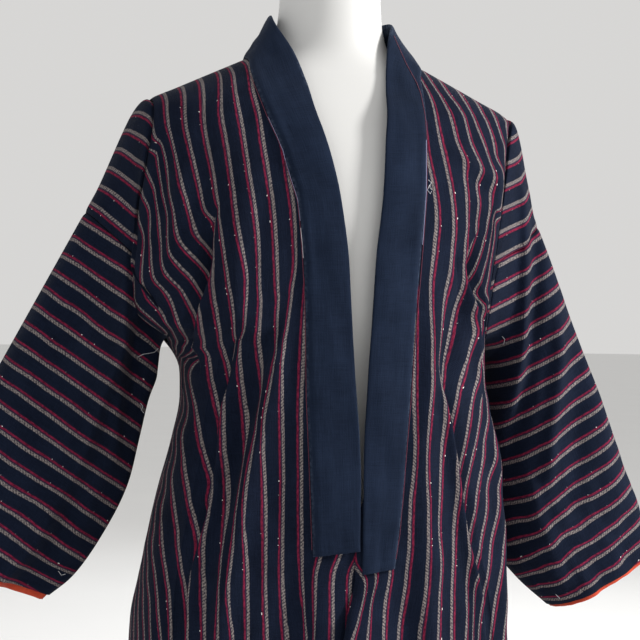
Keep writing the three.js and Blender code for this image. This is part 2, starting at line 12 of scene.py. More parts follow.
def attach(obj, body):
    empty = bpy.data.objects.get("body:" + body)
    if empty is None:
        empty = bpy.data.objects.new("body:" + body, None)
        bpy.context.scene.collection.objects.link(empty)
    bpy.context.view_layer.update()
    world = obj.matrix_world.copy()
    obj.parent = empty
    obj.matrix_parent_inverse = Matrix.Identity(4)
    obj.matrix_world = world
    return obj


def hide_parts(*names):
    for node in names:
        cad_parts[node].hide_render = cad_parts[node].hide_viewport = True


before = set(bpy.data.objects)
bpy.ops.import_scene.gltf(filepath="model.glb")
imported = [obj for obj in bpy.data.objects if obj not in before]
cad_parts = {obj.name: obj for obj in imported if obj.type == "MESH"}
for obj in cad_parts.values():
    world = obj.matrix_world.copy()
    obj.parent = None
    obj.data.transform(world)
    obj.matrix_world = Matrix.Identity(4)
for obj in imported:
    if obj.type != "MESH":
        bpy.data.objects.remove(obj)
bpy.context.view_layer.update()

mm = 0.001
side_sign = {"right": -1, "left": 1}

# Camera, in millimetres and in pixels of the photograph
azimuth = math.radians(14)
roll = math.radians(1.2)
photo_px = 640
middle_px = 320
focal_px = 1400
sensor_mm = 36
camera_distance = 1400
camera_right = np.array([math.cos(azimuth), -math.sin(azimuth), 0])
camera_forward = np.array([math.sin(azimuth), math.cos(azimuth), 0])
camera_target = np.array([-2, 0, 677])
camera_place = camera_target - camera_distance * camera_forward


def add_object(name, data):
    made = bpy.data.objects.new(name, data)
    bpy.context.scene.collection.objects.link(made)
    return made


def make_camera():
    data = bpy.data.cameras.new("camera")
    data.sensor_width = sensor_mm
    data.lens = sensor_mm * focal_px / photo_px
    data.clip_start = 0.05
    data.clip_end = 60
    camera = add_object("camera", data)
    up = np.array([0, 0, 1])
    side = camera_right * math.cos(roll) + up * math.sin(roll)
    top = up * math.cos(roll) - camera_right * math.sin(roll)
    columns = [side, top, -camera_forward, camera_place * mm]
    camera.matrix_world = Matrix([[float(c[i]) for c in columns] for i in range(3)] + [[0, 0, 0, 1]])
    bpy.context.scene.camera = camera


make_camera()


class Curve:
    """Smooth curve through a table's points that never overshoots them."""

    def __init__(self, xs, ys):
        order = np.argsort(xs)
        self.x = np.asarray(xs, float)[order]
        self.y = np.asarray(ys, float)[order]
        h = np.diff(self.x)
        d = np.diff(self.y) / h
        m = np.zeros_like(self.y)
        inner = d[:-1] * d[1:] > 0
        w1 = (2 * h[1:] + h[:-1])[inner]
        w2 = (h[1:] + 2 * h[:-1])[inner]
        m[1:-1][inner] = (w1 + w2) / (w1 / d[:-1][inner] + w2 / d[1:][inner])
        m[0] = d[0]
        m[-1] = d[-1]
        self.m = m

    def __call__(self, at):
        at = np.clip(np.asarray(at, float), self.x[0], self.x[-1])
        i = np.clip(np.searchsorted(self.x, at, side="right") - 1, 0, len(self.x) - 2)
        h = self.x[i + 1] - self.x[i]
        t = (at - self.x[i]) / h
        t2 = t * t
        t3 = t2 * t
        start = (2 * t3 - 3 * t2 + 1) * self.y[i] + (t3 - 2 * t2 + t) * h * self.m[i]
        end = (3 * t2 - 2 * t3) * self.y[i + 1] + (t3 - t2) * h * self.m[i + 1]
        return start + end


def table_curve(rows, at, column):
    return Curve([row[at] for row in rows], [row[column] for row in rows])


def smooth_step(share):
    t = np.clip(share, 0, 1)
    return t * t * (3 - 2 * t)


# Shoulder ridge, from the neck to the sleeve
neck_x, neck_z = (86, 930)
tip_x, tip_z = (180, 885)
ridge_run = 94
ridge_fall = 45
hem_z = 110
ring_power = 2.3
ring_centre_y = -5
armpit_height = 655
slope_fades_below = 650

# Outline of the worn cloth at each height: half widths to the wearer's right and left, depths front and back
cloth_rings = [
    (940, 65, 65, 64, 64), (930, 86, 86, 69, 69), (920, 106.9, 106.9, 77, 77), (908, 132, 132, 85, 83),
    (896, 157, 157, 92, 88), (885, 180, 180, 97, 91), (872, 197, 194, 103, 95), (850, 201, 193, 112, 99),
    (800, 203, 186, 124, 106), (740, 203, 176, 130, 112), (700, 200, 166, 133, 114),
    (670, 186, 160, 134, 115), (655, 160, 159, 135, 115), (625, 142, 160, 137, 115),
    (600, 140.5, 164, 138, 115), (560, 148, 171, 139, 116), (500, 163.5, 178, 141, 118),
    (440, 175.5, 183, 142, 120), (380, 186, 188, 144, 122), (250, 190, 193, 147, 126),
    (110, 194, 197, 150, 130),
]
ring_right, ring_left, ring_front, ring_back = (table_curve(cloth_rings, 0, k) for k in range(1, 5))

# Outer edge of each panel's front and back from the shoulder tip down to the armpit
front_edge_rows = {
    "right": [(885, 180), (872, 180.5), (860, 181.5), (840, 184.5), (820, 187), (800, 190), (785, 192.5),
              (745, 194), (727, 195.5), (697, 196), (682, 191), (671, 182), (663, 170), (655, 160)],
    "left": [(885, 180), (878, 177), (870, 173.5), (858, 170), (845, 167), (820, 163), (800, 160), (780, 157),
             (760, 154), (740, 151), (720, 148.5), (700, 147), (680, 148), (655, 158)],
}
back_edge_rows = {
    "right": [(885, 180), (878, 184), (870, 182), (858, 179.5), (845, 178), (800, 174), (740, 167),
              (700, 163.6), (655, 160)],
    "left": [(885, 180), (878, 185), (870, 183.3), (858, 181), (845, 179.5), (800, 175.8), (740, 168),
             (700, 162.5), (655, 158)],
}
front_edge = {side: table_curve(rows, 0, 1) for side, rows in front_edge_rows.items()}
back_edge = {side: table_curve(rows, 0, 1) for side, rows in back_edge_rows.items()}

# Free edge of each front below the neckband, as height and distance from the middle on its own side
free_edge = {
    "right": Curve([110, 180, 250, 320, 385, 430, 470, 510, 560], [4, 2, 0, -2, -5, -9, -10, -7, 4]),
    "left": Curve([110, 180, 250, 320, 385, 415, 447, 480, 520, 560],
                  [-12, -15, -17, -16.5, -14, -9, -1, -1, 1, 6]),
}
collar_end = {"right": 468, "left": 452}


def half_width(x, z):
    return np.where(np.asarray(x) < 0, ring_right(z), ring_left(z))


def cloth_y(x, z, face="front"):
    depth = ring_front(z) if face == "front" else ring_back(z)
    share = np.minimum(1, np.abs(x) / half_width(x, z))
    out = depth * (1 - share ** ring_power) ** (1 / ring_power)
    return ring_centre_y + (-out if face == "front" else out)


def ray_slopes(px, py):
    """How far the ray through a pixel goes to the right and up for each unit that it goes forward."""
    dx = np.asarray(px, float) - middle_px
    dy = middle_px - np.asarray(py, float)
    across = (dx * math.cos(roll) - dy * math.sin(roll)) / focal_px
    up = (dx * math.sin(roll) + dy * math.cos(roll)) / focal_px
    return across, up


def unprojected(px, py, y):
    """Place on the plane of one depth that the photograph shows at a pixel."""
    across, up = ray_slopes(px, py)
    ray_x = camera_forward[0] + camera_right[0] * across
    ray_y = camera_forward[1] + camera_right[1] * across
    t = (y - camera_place[1]) / ray_y
    return camera_place[0] + ray_x * t, camera_place[2] + up * t


def on_front(points):
    """Places x and z on the worn cloth's front that the photograph shows at some pixels."""
    px, py = np.array(points, float).T
    guess = -80.0
    y = np.full(len(px), guess)
    for _ in range(20):
        x, z = unprojected(px, py, y)
        y = (y + cloth_y(x, z)) / 2
    return x, z


def row_drop(height):
    """How much lower a slanting row lies at the sleeve than at the neck."""
    slope = smooth_step((height - slope_fades_below) / (neck_z - slope_fades_below))
    return (neck_z - tip_z) * slope


def beyond_neck(x):
    return np.maximum(0, (np.abs(x) - neck_x) / (tip_x - neck_x))


def row_height(x, z):
    """Height at the neck side of the slanting row that runs through a place."""
    height = np.asarray(z, float)
    for _ in range(30):
        height = z + row_drop(height) * beyond_neck(x)
    return height


# Stripes of the fronts: the middle of each stripe pair, numbered outward from the neckband, in pixels
stripe_pitch = 18.5
stripes = {
    "right": [
        (-3, [(349, 561), (347, 640)]), (-2, [(331, 561), (330, 640)]), (-1, [(314, 561), (313, 640)]),
        (0, [(318, 60), (314, 150), (310, 240), (303, 306), (301, 356), (299, 403), (299, 503), (300, 561),
             (303, 605), (306, 640)]),
        (1, [(262, 60), (272, 100), (283, 150), (287, 180), (291.5, 209), (294.4, 265), (290, 291.5),
             (287, 315), (284, 341), (282, 371), (281, 415), (281, 459), (279.8, 561), (281, 605),
             (284, 640)]),
        (2, [(247, 66), (250.7, 90), (257, 113), (261.4, 143.6), (266.8, 175.7), (272, 215), (274.3, 250.7),
             (276.8, 326.7), (276.8, 350), (272.4, 379.5), (268, 403), (265, 423.5), (263, 458.8),
             (263.6, 502.8), (263.6, 590.8), (265, 640)]),
        (3, [(231, 72), (233.8, 90), (243.6, 147), (248, 175.7), (254.3, 215), (257, 243.6), (257.8, 268),
             (257.8, 326.7), (259, 385), (259, 420.6), (255.7, 444), (251.9, 461.7), (248, 482), (246, 502.8),
             (245, 532), (246, 576), (246, 640)]),
        (4, [(212, 72), (219.5, 113), (224.8, 143.6), (229.6, 175.7), (237.5, 230), (244.8, 266),
             (246.6, 278.5), (244.8, 305), (241, 345), (240, 370), (241, 423), (242.2, 469), (239.5, 504),
             (234.1, 550), (230.3, 576), (229.5, 591), (232.6, 640)]),
        (5, [(193.5, 75), (201.6, 116.8), (211.4, 174), (220, 230), (226.6, 278.5), (233.9, 314.8),
             (236.3, 333), (236.9, 345), (235.5, 357), (234, 365)]),
        (5, [(226.1, 398), (224.4, 423), (222.8, 469), (221.9, 553), (221.5, 591), (218.5, 640)]),
        (6, [(175.5, 80), (182.9, 116.8), (189, 147), (195.4, 175.7), (205.2, 222), (209.6, 234.8),
             (212.7, 237), (211.5, 249), (209.6, 261.5), (210.3, 284.5), (215.7, 320.9), (221.8, 351),
             (226, 375.4), (226.8, 387.5)]),
        (6, [(213.9, 478.7), (211, 494), (208.4, 507), (205, 530), (203, 568), (203.5, 640)]),
        (7, [(163, 97), (165, 116.8), (170.4, 143.6), (177.5, 166.8), (188.2, 206), (191.8, 224), (192, 233),
             (197.5, 241), (203.6, 248), (207.8, 258)]),
        (7, [(200, 327), (203.6, 345), (210.9, 381), (215.3, 413), (218.8, 430.6), (217.3, 450.5),
             (216.5, 459.7)]),
        (7, [(195.5, 566.7), (190.7, 599), (188.5, 614), (188, 640)]),
        (8, [(157.9, 140), (165, 179.3), (175.7, 215), (179.4, 242), (185.4, 251.8), (200, 267.6),
             (206.3, 277.9)]),
        (8, [(189.7, 357), (187.2, 363), (192, 400), (201.2, 446), (209.6, 485.7), (211, 493.4)]),
        (9, [(154.3, 149), (157.9, 190), (166.8, 220), (167.9, 251.8), (172, 261.5), (189, 278.5),
             (200, 297.8)]),
        (9, [(178.5, 392), (177.5, 404.6), (184.4, 461), (193.6, 514.8), (198.9, 550), (195.9, 568)]),
        (10, [(141.8, 166.8), (152.5, 190), (155, 230), (160, 266), (163.6, 276), (179.4, 289), (187.8, 305),
              (194.5, 324.5), (195.7, 333)]),
        (10, [(166.8, 446), (172.9, 499.5), (179, 553), (184.4, 614), (185.2, 640)]),
        (11, [(137.3, 191.8), (148, 211.4), (147, 238), (150.7, 281), (166.8, 293.6), (175.7, 320.4),
              (188.2, 354)]),
        (11, [(157.6, 495), (163, 545.4), (168.3, 583.7), (169.8, 640)]),
        (12, [(132.9, 215), (142.7, 238), (140, 278.5), (149, 301.5), (168.5, 317)]),
        (12, [(149.2, 534.7), (157.6, 576), (160, 609.7), (163, 640)]),
        (13, [(131.5, 272.4), (134.5, 305), (152.7, 319.7), (167.2, 331.8)]),
        (13, [(146.9, 568.4), (152.2, 606.7), (154.5, 640)]),
        (14, [(128, 270), (130, 315), (150, 330)]),
        (14, [(143, 599), (146.9, 640)]),
    ],
    "left": [
        (-3, [(368, 573), (364, 600), (355, 626), (350, 640)]), (-2, [(380, 573), (373, 595), (367, 640)]),
        (-1, [(391, 573), (389, 600), (385, 640)]),
        (0, [(404, 90), (410, 160), (414, 240), (416.8, 320), (415.6, 401.6), (413.8, 483), (411.4, 497.6),
             (411, 544.5), (409, 575), (403, 640)]),
        (1, [(416, 78), (420.7, 94.3), (427.9, 148.5), (435.9, 188.3), (439, 220), (436.6, 253.7),
             (431.9, 287), (431.5, 340), (431, 387), (427.4, 412), (424.4, 467), (426.8, 514), (425.4, 575),
             (421.3, 640)]),
        (2, [(418, 74), (423.9, 83.2), (434.3, 103.9), (441.4, 139), (448.6, 169.2), (455, 217),
             (455.4, 231.4), (453.4, 268), (447.8, 296.7), (441.7, 340), (441.7, 356.7), (445.2, 397.6),
             (443.8, 442.4), (438.7, 514), (439.7, 575), (437.7, 640)]),
        (3, [(430, 80), (438.2, 91), (451, 111.9), (458.2, 140.5), (465.3, 164.4), (469.3, 207.5),
             (469.3, 223.4), (466.9, 253.7), (465.6, 263.2), (467.7, 285), (461, 320), (452, 361),
             (446.2, 391), (445.8, 401)]),
        (3, [(456.4, 473), (457, 503.7), (454, 575), (453, 640)]),
        (4, [(446, 90), (454.2, 100.7), (463.7, 113.5), (472.5, 145.3), (482, 164.4), (480.5, 191.5),
             (479.4, 223.4), (475.7, 255.3), (473, 268)]),
        (4, [(475.4, 322), (472.3, 344.5), (459, 397.6), (454.4, 434), (455, 446.5)]),
        (4, [(464.2, 516), (467, 545), (468.3, 554.7), (466.8, 640)]),
        (5, [(466, 103), (471.7, 111.9), (482.9, 139), (490, 158), (494, 172)]),
        (5, [(491.6, 194.7), (487.6, 223.4), (482, 255.3), (475, 281)]),
        (5, [(479.5, 367), (477.4, 391), (471.3, 407.8), (465.2, 452.7), (461, 489.4)]),
        (5, [(472.3, 575), (473, 640)]),
        (6, [(482, 112), (487.6, 120.6), (495.6, 143.7), (495.3, 163)]),
        (6, [(491.5, 210), (488.5, 245), (481, 280), (477, 294)]),
        (6, [(483.6, 405.7), (475.4, 442.4), (466.8, 503.7), (467.2, 524)]),
        (6, [(478.5, 600), (478, 640)]),
        (7, [(492, 215), (489, 255), (480, 300)]),
        (7, [(486.6, 450.6), (477.4, 493.5), (473, 534.3), (473.4, 554.7)]),
        (8, [(489.7, 493.5), (482.5, 540.4), (477.4, 585)]),
        (9, [(490.7, 554.7), (485.6, 605.7), (484, 640)]),
        (10, [(494.8, 585), (491.7, 640)]),
    ],
}

# Lapped creases, from the inner one to the outer one of each front. The part between the neckband and the
# crease lies in front. top and bottom continue a crease past the photograph as height and distance.
creases = {
    "right": [
        {"px": [(236, 345), (234, 365), (229, 386), (224, 403), (219.9, 433.7), (217.4, 456), (210.8, 494),
                (204, 531), (198.4, 555), (190.5, 596), (187.5, 639)],
         "more": [(930, 103), (850, 92), (760, 84), (700, 82), (300, 150), (110, 152)],
         "strength": [(110, 0.5), (388, 1), (630, 1), (646, 0.7), (658, 0.2), (666, 0)]},
        {"px": [(212.7, 237), (209.9, 260), (209, 272), (204.8, 290.6), (199.4, 307.5), (196.3, 327)],
         "more": [(930, 134), (850, 124), (600, 138), (540, 152), (450, 164), (380, 171), (110, 177)],
         "strength": [(625, 0), (650, 0.6), (675, 1), (750, 1), (766, 0.5), (785, 0)]},
    ],
    "left": [
        {"px": [(445.8, 401.6), (449.9, 426), (454, 450.6), (460, 493.5), (467.2, 540.4), (477.4, 583),
                (481.5, 605.7)],
         "more": [(930, 98), (850, 90), (760, 84), (700, 82), (650, 82), (350, 138), (110, 140)],
         "strength": [(110, 0.3), (400, 0.7), (440, 1), (598, 1), (616, 0.5), (638, 0)]},
        {"px": [(468, 262), (470.5, 282.4), (473.5, 300), (476, 316)],
         "more": [(930, 142), (850, 136), (780, 128), (640, 134), (600, 140), (500, 150), (420, 158),
                  (110, 170)],
         "strength": [(600, 0), (628, 0.6), (650, 1), (738, 1), (752, 0.6), (772, 0)]},
    ],
}

# Offsets across a crease and how far the cloth stands out there at full strength
crease_before = np.array([
    (-12, 0.6), (-9, 1.8), (-6.5, 3.4), (-4.5, 4.8), (-2.8, 5.6), (-1.4, 5.6), (-0.4, 4.6), (0, 3.2),
])
crease_hidden = np.array([(-1.6, 0.2), (-2.4, -3.2)])
crease_after = np.array([(0.6, -4.6), (2.4, -4.8), (5, -4.0), (8, -2.6), (12, -1.0)])

# Offsets of the hidden columns without a tuck, columns beside and between the creases, room that a crease
# needs and how near its middle may come to the end of that room
flat_hidden = np.array([0.2, 0.4])
column_counts = (22, 9, 22)
crease_room = 27
crease_reach = 12.5

# Soft folds: points as x and z, width towards the middle and outward, how far the cloth stands out
folds = [
    ("right", "front", [(-64, 676), (-77, 630), (-83, 593), (-94, 547), (-104, 496), (-112, 456), (-120, 394),
                        (-128, 60)], 12, 7, 7),
    ("right", "front", [(-78, 650), (-96, 590), (-110, 530), (-121, 470)], 9, 10, -5),
    ("right", "front", [(-138, 770), (-133, 735), (-126, 690)], 9, 12, -7),
    ("right", "front", [(-182, 874), (-175, 823), (-177, 787), (-184, 702)], 9, 8, -4),
    ("right", "front", [(-160, 830), (-158, 770), (-166, 715)], 10, 10, 4),
    ("right", "front", [(-152, 752), (-164, 718), (-178, 700)], 8, 8, -4),
    ("right", "front", [(-146, 598), (-144, 527), (-139, 457), (-135, 387)], 9, 9, 3),
    ("right", "front", [(-100, 800), (-112, 740), (-109, 690), (-98, 640)], 14, 14, 4),
    ("right", "front", [(-60, 560), (-58, 460), (-66, 300), (-72, 60)], 16, 16, -4),
    ("right", "front", [(-30, 440), (-34, 60)], 18, 18, 3),
    ("right", "front", [(-168, 520), (-172, 380), (-176, 60)], 10, 12, 4),
    ("right", "front", [(-190, 668), (-174, 659), (-158, 655), (-140, 655)], 5, 5, -9),
    ("right", "front", [(-190, 680), (-172, 671), (-152, 668)], 6, 6, 4),
    ("left", "front", [(100, 838), (120, 826), (146, 815)], 8, 7, 4),
    ("left", "front", [(112, 815), (132, 806), (150, 798)], 9, 9, -4),
    ("left", "front", [(158, 846), (152, 790), (142, 720), (138, 660)], 9, 8, 5),
    ("left", "front", [(122, 770), (112, 708), (92, 640), (86, 600)], 12, 11, -5),
    ("left", "front", [(64, 700), (66, 620), (64, 520), (70, 440), (80, 60)], 14, 14, 4),
    ("left", "front", [(46, 440), (56, 60)], 14, 16, -5),
    ("left", "front", [(-4, 440), (-10, 360), (-10, 60)], 20, 22, 6),
    ("left", "front", [(150, 600), (158, 520), (160, 440), (166, 60)], 10, 10, 5),
    ("right", "back", [(-128, 800), (-118, 700), (-98, 560), (-88, 60)], 16, 22, -7),
    ("right", "back", [(-130, 640), (-120, 540), (-122, 60)], 14, 12, 6),
    ("right", "back", [(-62, 700), (-46, 560), (-50, 60)], 18, 22, 5),
    ("right", "back", [(-22, 420), (-24, 60)], 14, 16, -4),
    ("left", "back", [(134, 790), (120, 690), (104, 540), (98, 60)], 16, 20, -7),
    ("left", "back", [(134, 630), (128, 520), (130, 60)], 14, 12, 6),
    ("left", "back", [(60, 690), (52, 560), (60, 60)], 20, 18, 5),
    ("left", "back", [(24, 470), (20, 60)], 14, 16, -4),
]
fold_depth = 1.65
fold_fade = 45


def fold_field(x, z, path, inner_width, outer_width, out):
    """How far a fold pushes each place out. The width differs towards the middle and away from it."""
    nearest = np.full(x.shape, np.inf)
    beside = np.zeros(x.shape)
    along = np.zeros(x.shape)
    run = 0
    for (x0, z0), (x1, z1) in zip(path[:-1], path[1:]):
        dx = x1 - x0
        dz = z1 - z0
        length = math.hypot(dx, dz)
        t = np.clip(((x - x0) * dx + (z - z0) * dz) / length ** 2, 0, 1)
        gap_x = x - x0 - t * dx
        distance = np.hypot(gap_x, z - z0 - t * dz)
        closer = distance < nearest
        nearest = np.where(closer, distance, nearest)
        beside = np.where(closer, gap_x * np.sign(x), beside)
        along = np.where(closer, run + t * length, along)
        run += length
    width = inner_width + (outer_width - inner_width) * smooth_step(0.5 + beside / 12)
    past_hem = path[-1][1] < hem_z
    fade = smooth_step(along / fold_fade) * (1 if past_hem else smooth_step((run - along) / fold_fade))
    return out * np.exp(-(nearest / width) ** 2) * (0.25 + 0.75 * fade)


def rumple(a, b, seed, size=34):
    """Small uneven waves of hand-woven cloth that has been worn, between about minus one and one."""
    waves = 14
    rng = np.random.default_rng(seed)
    total = np.zeros(np.broadcast(a, b).shape)
    for _ in range(waves):
        angle = rng.uniform(0, math.pi)
        length = size * rng.uniform(0.6, 1.9)
        phase = rng.uniform(0, 2 * math.pi)
        wave = (a * math.cos(angle) + b * math.sin(angle)) * 2 * math.pi / length
        total = total + np.sin(wave + phase) * length / size
    return total / waves


def turn_of(x, half):
    return np.arcsin(np.clip(np.abs(x) / half, 0, 1) ** (ring_power / 2)) * np.sign(x)


def x_of(turn, half):
    return half * np.sign(turn) * np.abs(np.sin(turn)) ** (2 / ring_power)


# Neckband: sections as seam x, seam z, free x, free z, and the depth of both where the band leaves the chest
collar_sections = {
    "right": [
    (40, 466, -2, 471, None), (43.5, 542, -2, 545, None), (47, 605, 2.5, 605, None), (49, 668, 7, 668, None),
    (52, 735, 11, 735, None), (57, 785, 17.5, 785, None), (65, 812, 24, 818, None),
    (73, 840, 31.5, 847, None), (81, 861, 38, 870, None), (89, 888, 42.5, 898, -89),
    (91.5, 908, 50, 928, -70), (88.5, 924, 61, 958, -43),
],
    "left": [
    (36.5, 454, 4.5, 450, None), (43, 515, 4.6, 515, None), (47, 570, 4.8, 570, None),
    (51, 627, 7.4, 627, None), (54.6, 679, 11, 678, None), (60, 744, 15, 738, None),
    (65, 795, 21.6, 790, None), (68.7, 840, 26, 840, None), (70.5, 868, 30, 868, None),
    (71.5, 893, 35, 895, -88), (73, 909, 41, 925, -68), (79, 922, 50, 957, -43),
],
    "back": [(86, 930, 60, 973, -16), (77, 928.2, 56, 977, 12), (58, 926, 46, 977, 38),
             (30, 923.5, 26, 975, 56)],
}
collar_middle = (0, 921.5, 0, 974, 62)
seam_x = {
    side: Curve([row[1] for row in collar_sections[side]] + [neck_z + 1],
                [row[0] for row in collar_sections[side]] + [neck_x])
    for side in side_sign
}


def collar_line(section, face, sign, across):
    seam_place_x, seam_z, free_x, free_z, free_y = section
    if face == "front":
        seam_y = cloth_y(sign * seam_place_x, seam_z)
    elif seam_z == neck_z:
        seam_y = ring_centre_y
    else:
        seam_y = cloth_y(sign * seam_place_x, seam_z, "back")
    end_y = cloth_y(sign * free_x, free_z) if free_y is None else free_y
    start = np.array([sign * seam_place_x, float(seam_y), seam_z])
    end = np.array([sign * free_x, float(end_y), free_z])
    line = start + (end - start) * across[:, None]
    if free_y is None:
        line[:, 1] = cloth_y(line[:, 0], line[:, 2])
    return line


def collar_surface(steps, across):
    """Rows of points over the neckband from the right end round the neck to the left end."""
    half = {}
    for side, sign in side_sign.items():
        half[side] = [collar_line(s, "front", sign, across) for s in collar_sections[side]]
        half[side] += [collar_line(s, "back", sign, across) for s in collar_sections["back"]]
    sections = half["right"] + [collar_line(collar_middle, "back", 1, across)] + half["left"][::-1]
    rows = []
    for s in range(len(sections) - 1):
        a = sections[max(0, s - 1)]
        b = sections[s]
        c = sections[s + 1]
        d = sections[min(len(sections) - 1, s + 2)]
        for k in range(steps):
            t = k / steps
            t2 = t * t
            t3 = t2 * t
            rows.append((2 * t3 - 3 * t2 + 1) * b + (t3 - 2 * t2 + t) * (c - a) / 2
                        + (3 * t2 - 2 * t3) * c + (t3 - t2) * (d - b) / 2)
    rows.append(sections[-1])
    return np.array(rows)


def ring_turns(count):
    return 2 * math.pi * np.arange(count) / count


def run_along(points, axis, wrap=False):
    """Distance run from the first row or column of a grid of points, or round each ring to its start."""
    if wrap:
        points = np.concatenate([points, points[:, :1]], axis=1)
    run = np.cumsum(np.linalg.norm(np.diff(points, axis=axis), axis=-1), axis=axis)
    return np.concatenate([np.zeros_like(run.take([0], axis)), run], axis=axis)


def grid_normals(points, wrap=False):
    if wrap:
        across = np.roll(points, -1, axis=1) - np.roll(points, 1, axis=1)
    else:
        across = np.gradient(points, axis=1)
    along = np.gradient(points, axis=0)
    normal = np.cross(across, along)
    return normal / np.maximum(1e-9, np.linalg.norm(normal, axis=2, keepdims=True))


def grid_object(name, points, material, uv=None, wrap=False, flip=False, caps=False):
    """Mesh of rows and columns of points, with its cloth coordinates, both given in millimetres."""
    rows, cols = points.shape[:2]
    spans = cols if wrap else cols - 1
    j, i = np.meshgrid(np.arange(rows - 1), np.arange(spans), indexing="ij")
    j = j.ravel()
    i = i.ravel()
    corners = [(j, i), (j, i + 1), (j + 1, i + 1), (j + 1, i)]
    if flip:
        corners = corners[::-1]
    quads = np.stack([row * cols + col % cols for row, col in corners], axis=1)
    faces = quads.tolist()
    if caps:
        first = list(range(cols))
        last = [(rows - 1) * cols + k for k in range(cols)]
        faces += [first if flip else first[::-1], last[::-1] if flip else last]
    mesh = bpy.data.meshes.new(name)
    mesh.from_pydata((points.reshape(-1, 3) * mm).tolist(), [], faces)
    if uv is not None:
        layer = mesh.uv_layers.new(name="cloth")
        values = np.zeros((len(mesh.loops), 2), np.float32)
        loops = np.stack([uv[row, col] for row, col in corners], axis=1).reshape(-1, 2)
        values[:len(loops)] = loops * mm
        layer.data.foreach_set("uv", values.ravel())
    mesh.polygons.foreach_set("use_smooth", np.ones(len(mesh.polygons), bool))
    mesh.update()
    mesh.materials.append(material)
    return add_object(name, mesh)


def shell(piece, thickness):
    solid = piece.modifiers.new("cloth", "SOLIDIFY")
    solid.thickness = thickness * mm
    solid.offset = -1
    solid.use_even_offset = False


def declare(piece, node):
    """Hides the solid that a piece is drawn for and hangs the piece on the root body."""
    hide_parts(node)
    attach(piece, "root")


# Materials are built from small helpers that add one node each
class Nodes:
    def __init__(self, name):
        self.material = bpy.data.materials.new(name)
        self.material.use_nodes = True
        self.tree = self.material.node_tree
        self.tree.nodes.clear()
        self.shader = self.tree.nodes.new("ShaderNodeBsdfPrincipled")
        output = self.tree.nodes.new("ShaderNodeOutputMaterial")
        self.tree.links.new(self.shader.outputs["BSDF"], output.inputs["Surface"])

    def put(self, socket, value):
        if isinstance(value, bpy.types.NodeSocket):
            self.tree.links.new(value, socket)
        else:
            socket.default_value = value

    def op(self, operation, a, b=0.0, c=0.0, clamp=False):
        made = self.tree.nodes.new("ShaderNodeMath")
        made.operation = operation
        made.use_clamp = clamp
        for socket, value in zip(made.inputs, (a, b, c)):
            self.put(socket, value)
        return made.outputs[0]

    def times(self, a, b):
        return self.op("MULTIPLY", a, b)

    def plus(self, a, b):
        return self.op("ADD", a, b)

    def minus(self, a, b):
        return self.op("SUBTRACT", a, b)

    def vector(self, x, y, z=0.0):
        made = self.tree.nodes.new("ShaderNodeCombineXYZ")
        for socket, value in zip(made.inputs, (x, y, z)):
            self.put(socket, value)
        return made.outputs[0]

    def parts(self, value):
        made = self.tree.nodes.new("ShaderNodeSeparateXYZ")
        self.put(made.inputs[0], value)
        return made.outputs

    def cloth(self):
        made = self.tree.nodes.new("ShaderNodeUVMap")
        made.uv_map = "cloth"
        outputs = self.parts(made.outputs[0])
        return outputs[0], outputs[1]

    def place(self):
        return self.tree.nodes.new("ShaderNodeTexCoord").outputs["Object"]

    def noise(self, vector, scale=1.0, detail=2.0, roughness=0.5):
        made = self.tree.nodes.new("ShaderNodeTexNoise")
        self.put(made.inputs["Vector"], vector)
        made.inputs["Scale"].default_value = scale
        made.inputs["Detail"].default_value = detail
        made.inputs["Roughness"].default_value = roughness
        return made.outputs[0]

    def yarns(self, u, v, across, along, detail=3, roughness=0.5):
        """Noise drawn out along the yarns, with its waves per metre across and along the cloth."""
        return self.noise(self.vector(self.times(u, across), self.times(v, along)), 1, detail, roughness)

    def band(self, value, low, high, soft):
        """One between low and high, zero outside, with soft edges."""
        rise = self.op("MULTIPLY", self.op("SUBTRACT", value, low), 1 / soft, clamp=True)
        fall = self.op("MULTIPLY", self.op("SUBTRACT", high, value), 1 / soft, clamp=True)
        return self.op("MULTIPLY", rise, fall)

    def above(self, value, low, high):
        made = self.tree.nodes.new("ShaderNodeMapRange")
        self.put(made.inputs[0], value)
        made.inputs[1].default_value = low
        made.inputs[2].default_value = high
        return made.outputs[0]

    def mixed(self, share, a, b):
        made = self.tree.nodes.new("ShaderNodeMix")
        made.data_type = "RGBA"
        self.put(made.inputs[0], share)
        for socket, value in ((made.inputs[6], a), (made.inputs[7], b)):
            self.put(socket, value if isinstance(value, bpy.types.NodeSocket) else (*value, 1))
        return made.outputs[2]

    def bump(self, height, distance, strength=1.0):
        made = self.tree.nodes.new("ShaderNodeBump")
        made.inputs["Strength"].default_value = strength
        made.inputs["Distance"].default_value = distance
        self.put(made.inputs["Height"], height)
        self.put(self.shader.inputs["Normal"], made.outputs[0])

    def finish(self, colour, roughness, metallic=0.0, specular=0.5, sheen=0.0, sheen_roughness=0.5,
               sheen_tint=(1, 1, 1)):
        values = {
            "Base Color": colour, "Roughness": roughness, "Metallic": metallic,
            "Specular IOR Level": specular, "Sheen Weight": sheen,
            "Sheen Roughness": sheen_roughness, "Sheen Tint": (*sheen_tint, 1),
        }
        for name, value in values.items():
            self.put(self.shader.inputs[name], value)
        return self.material


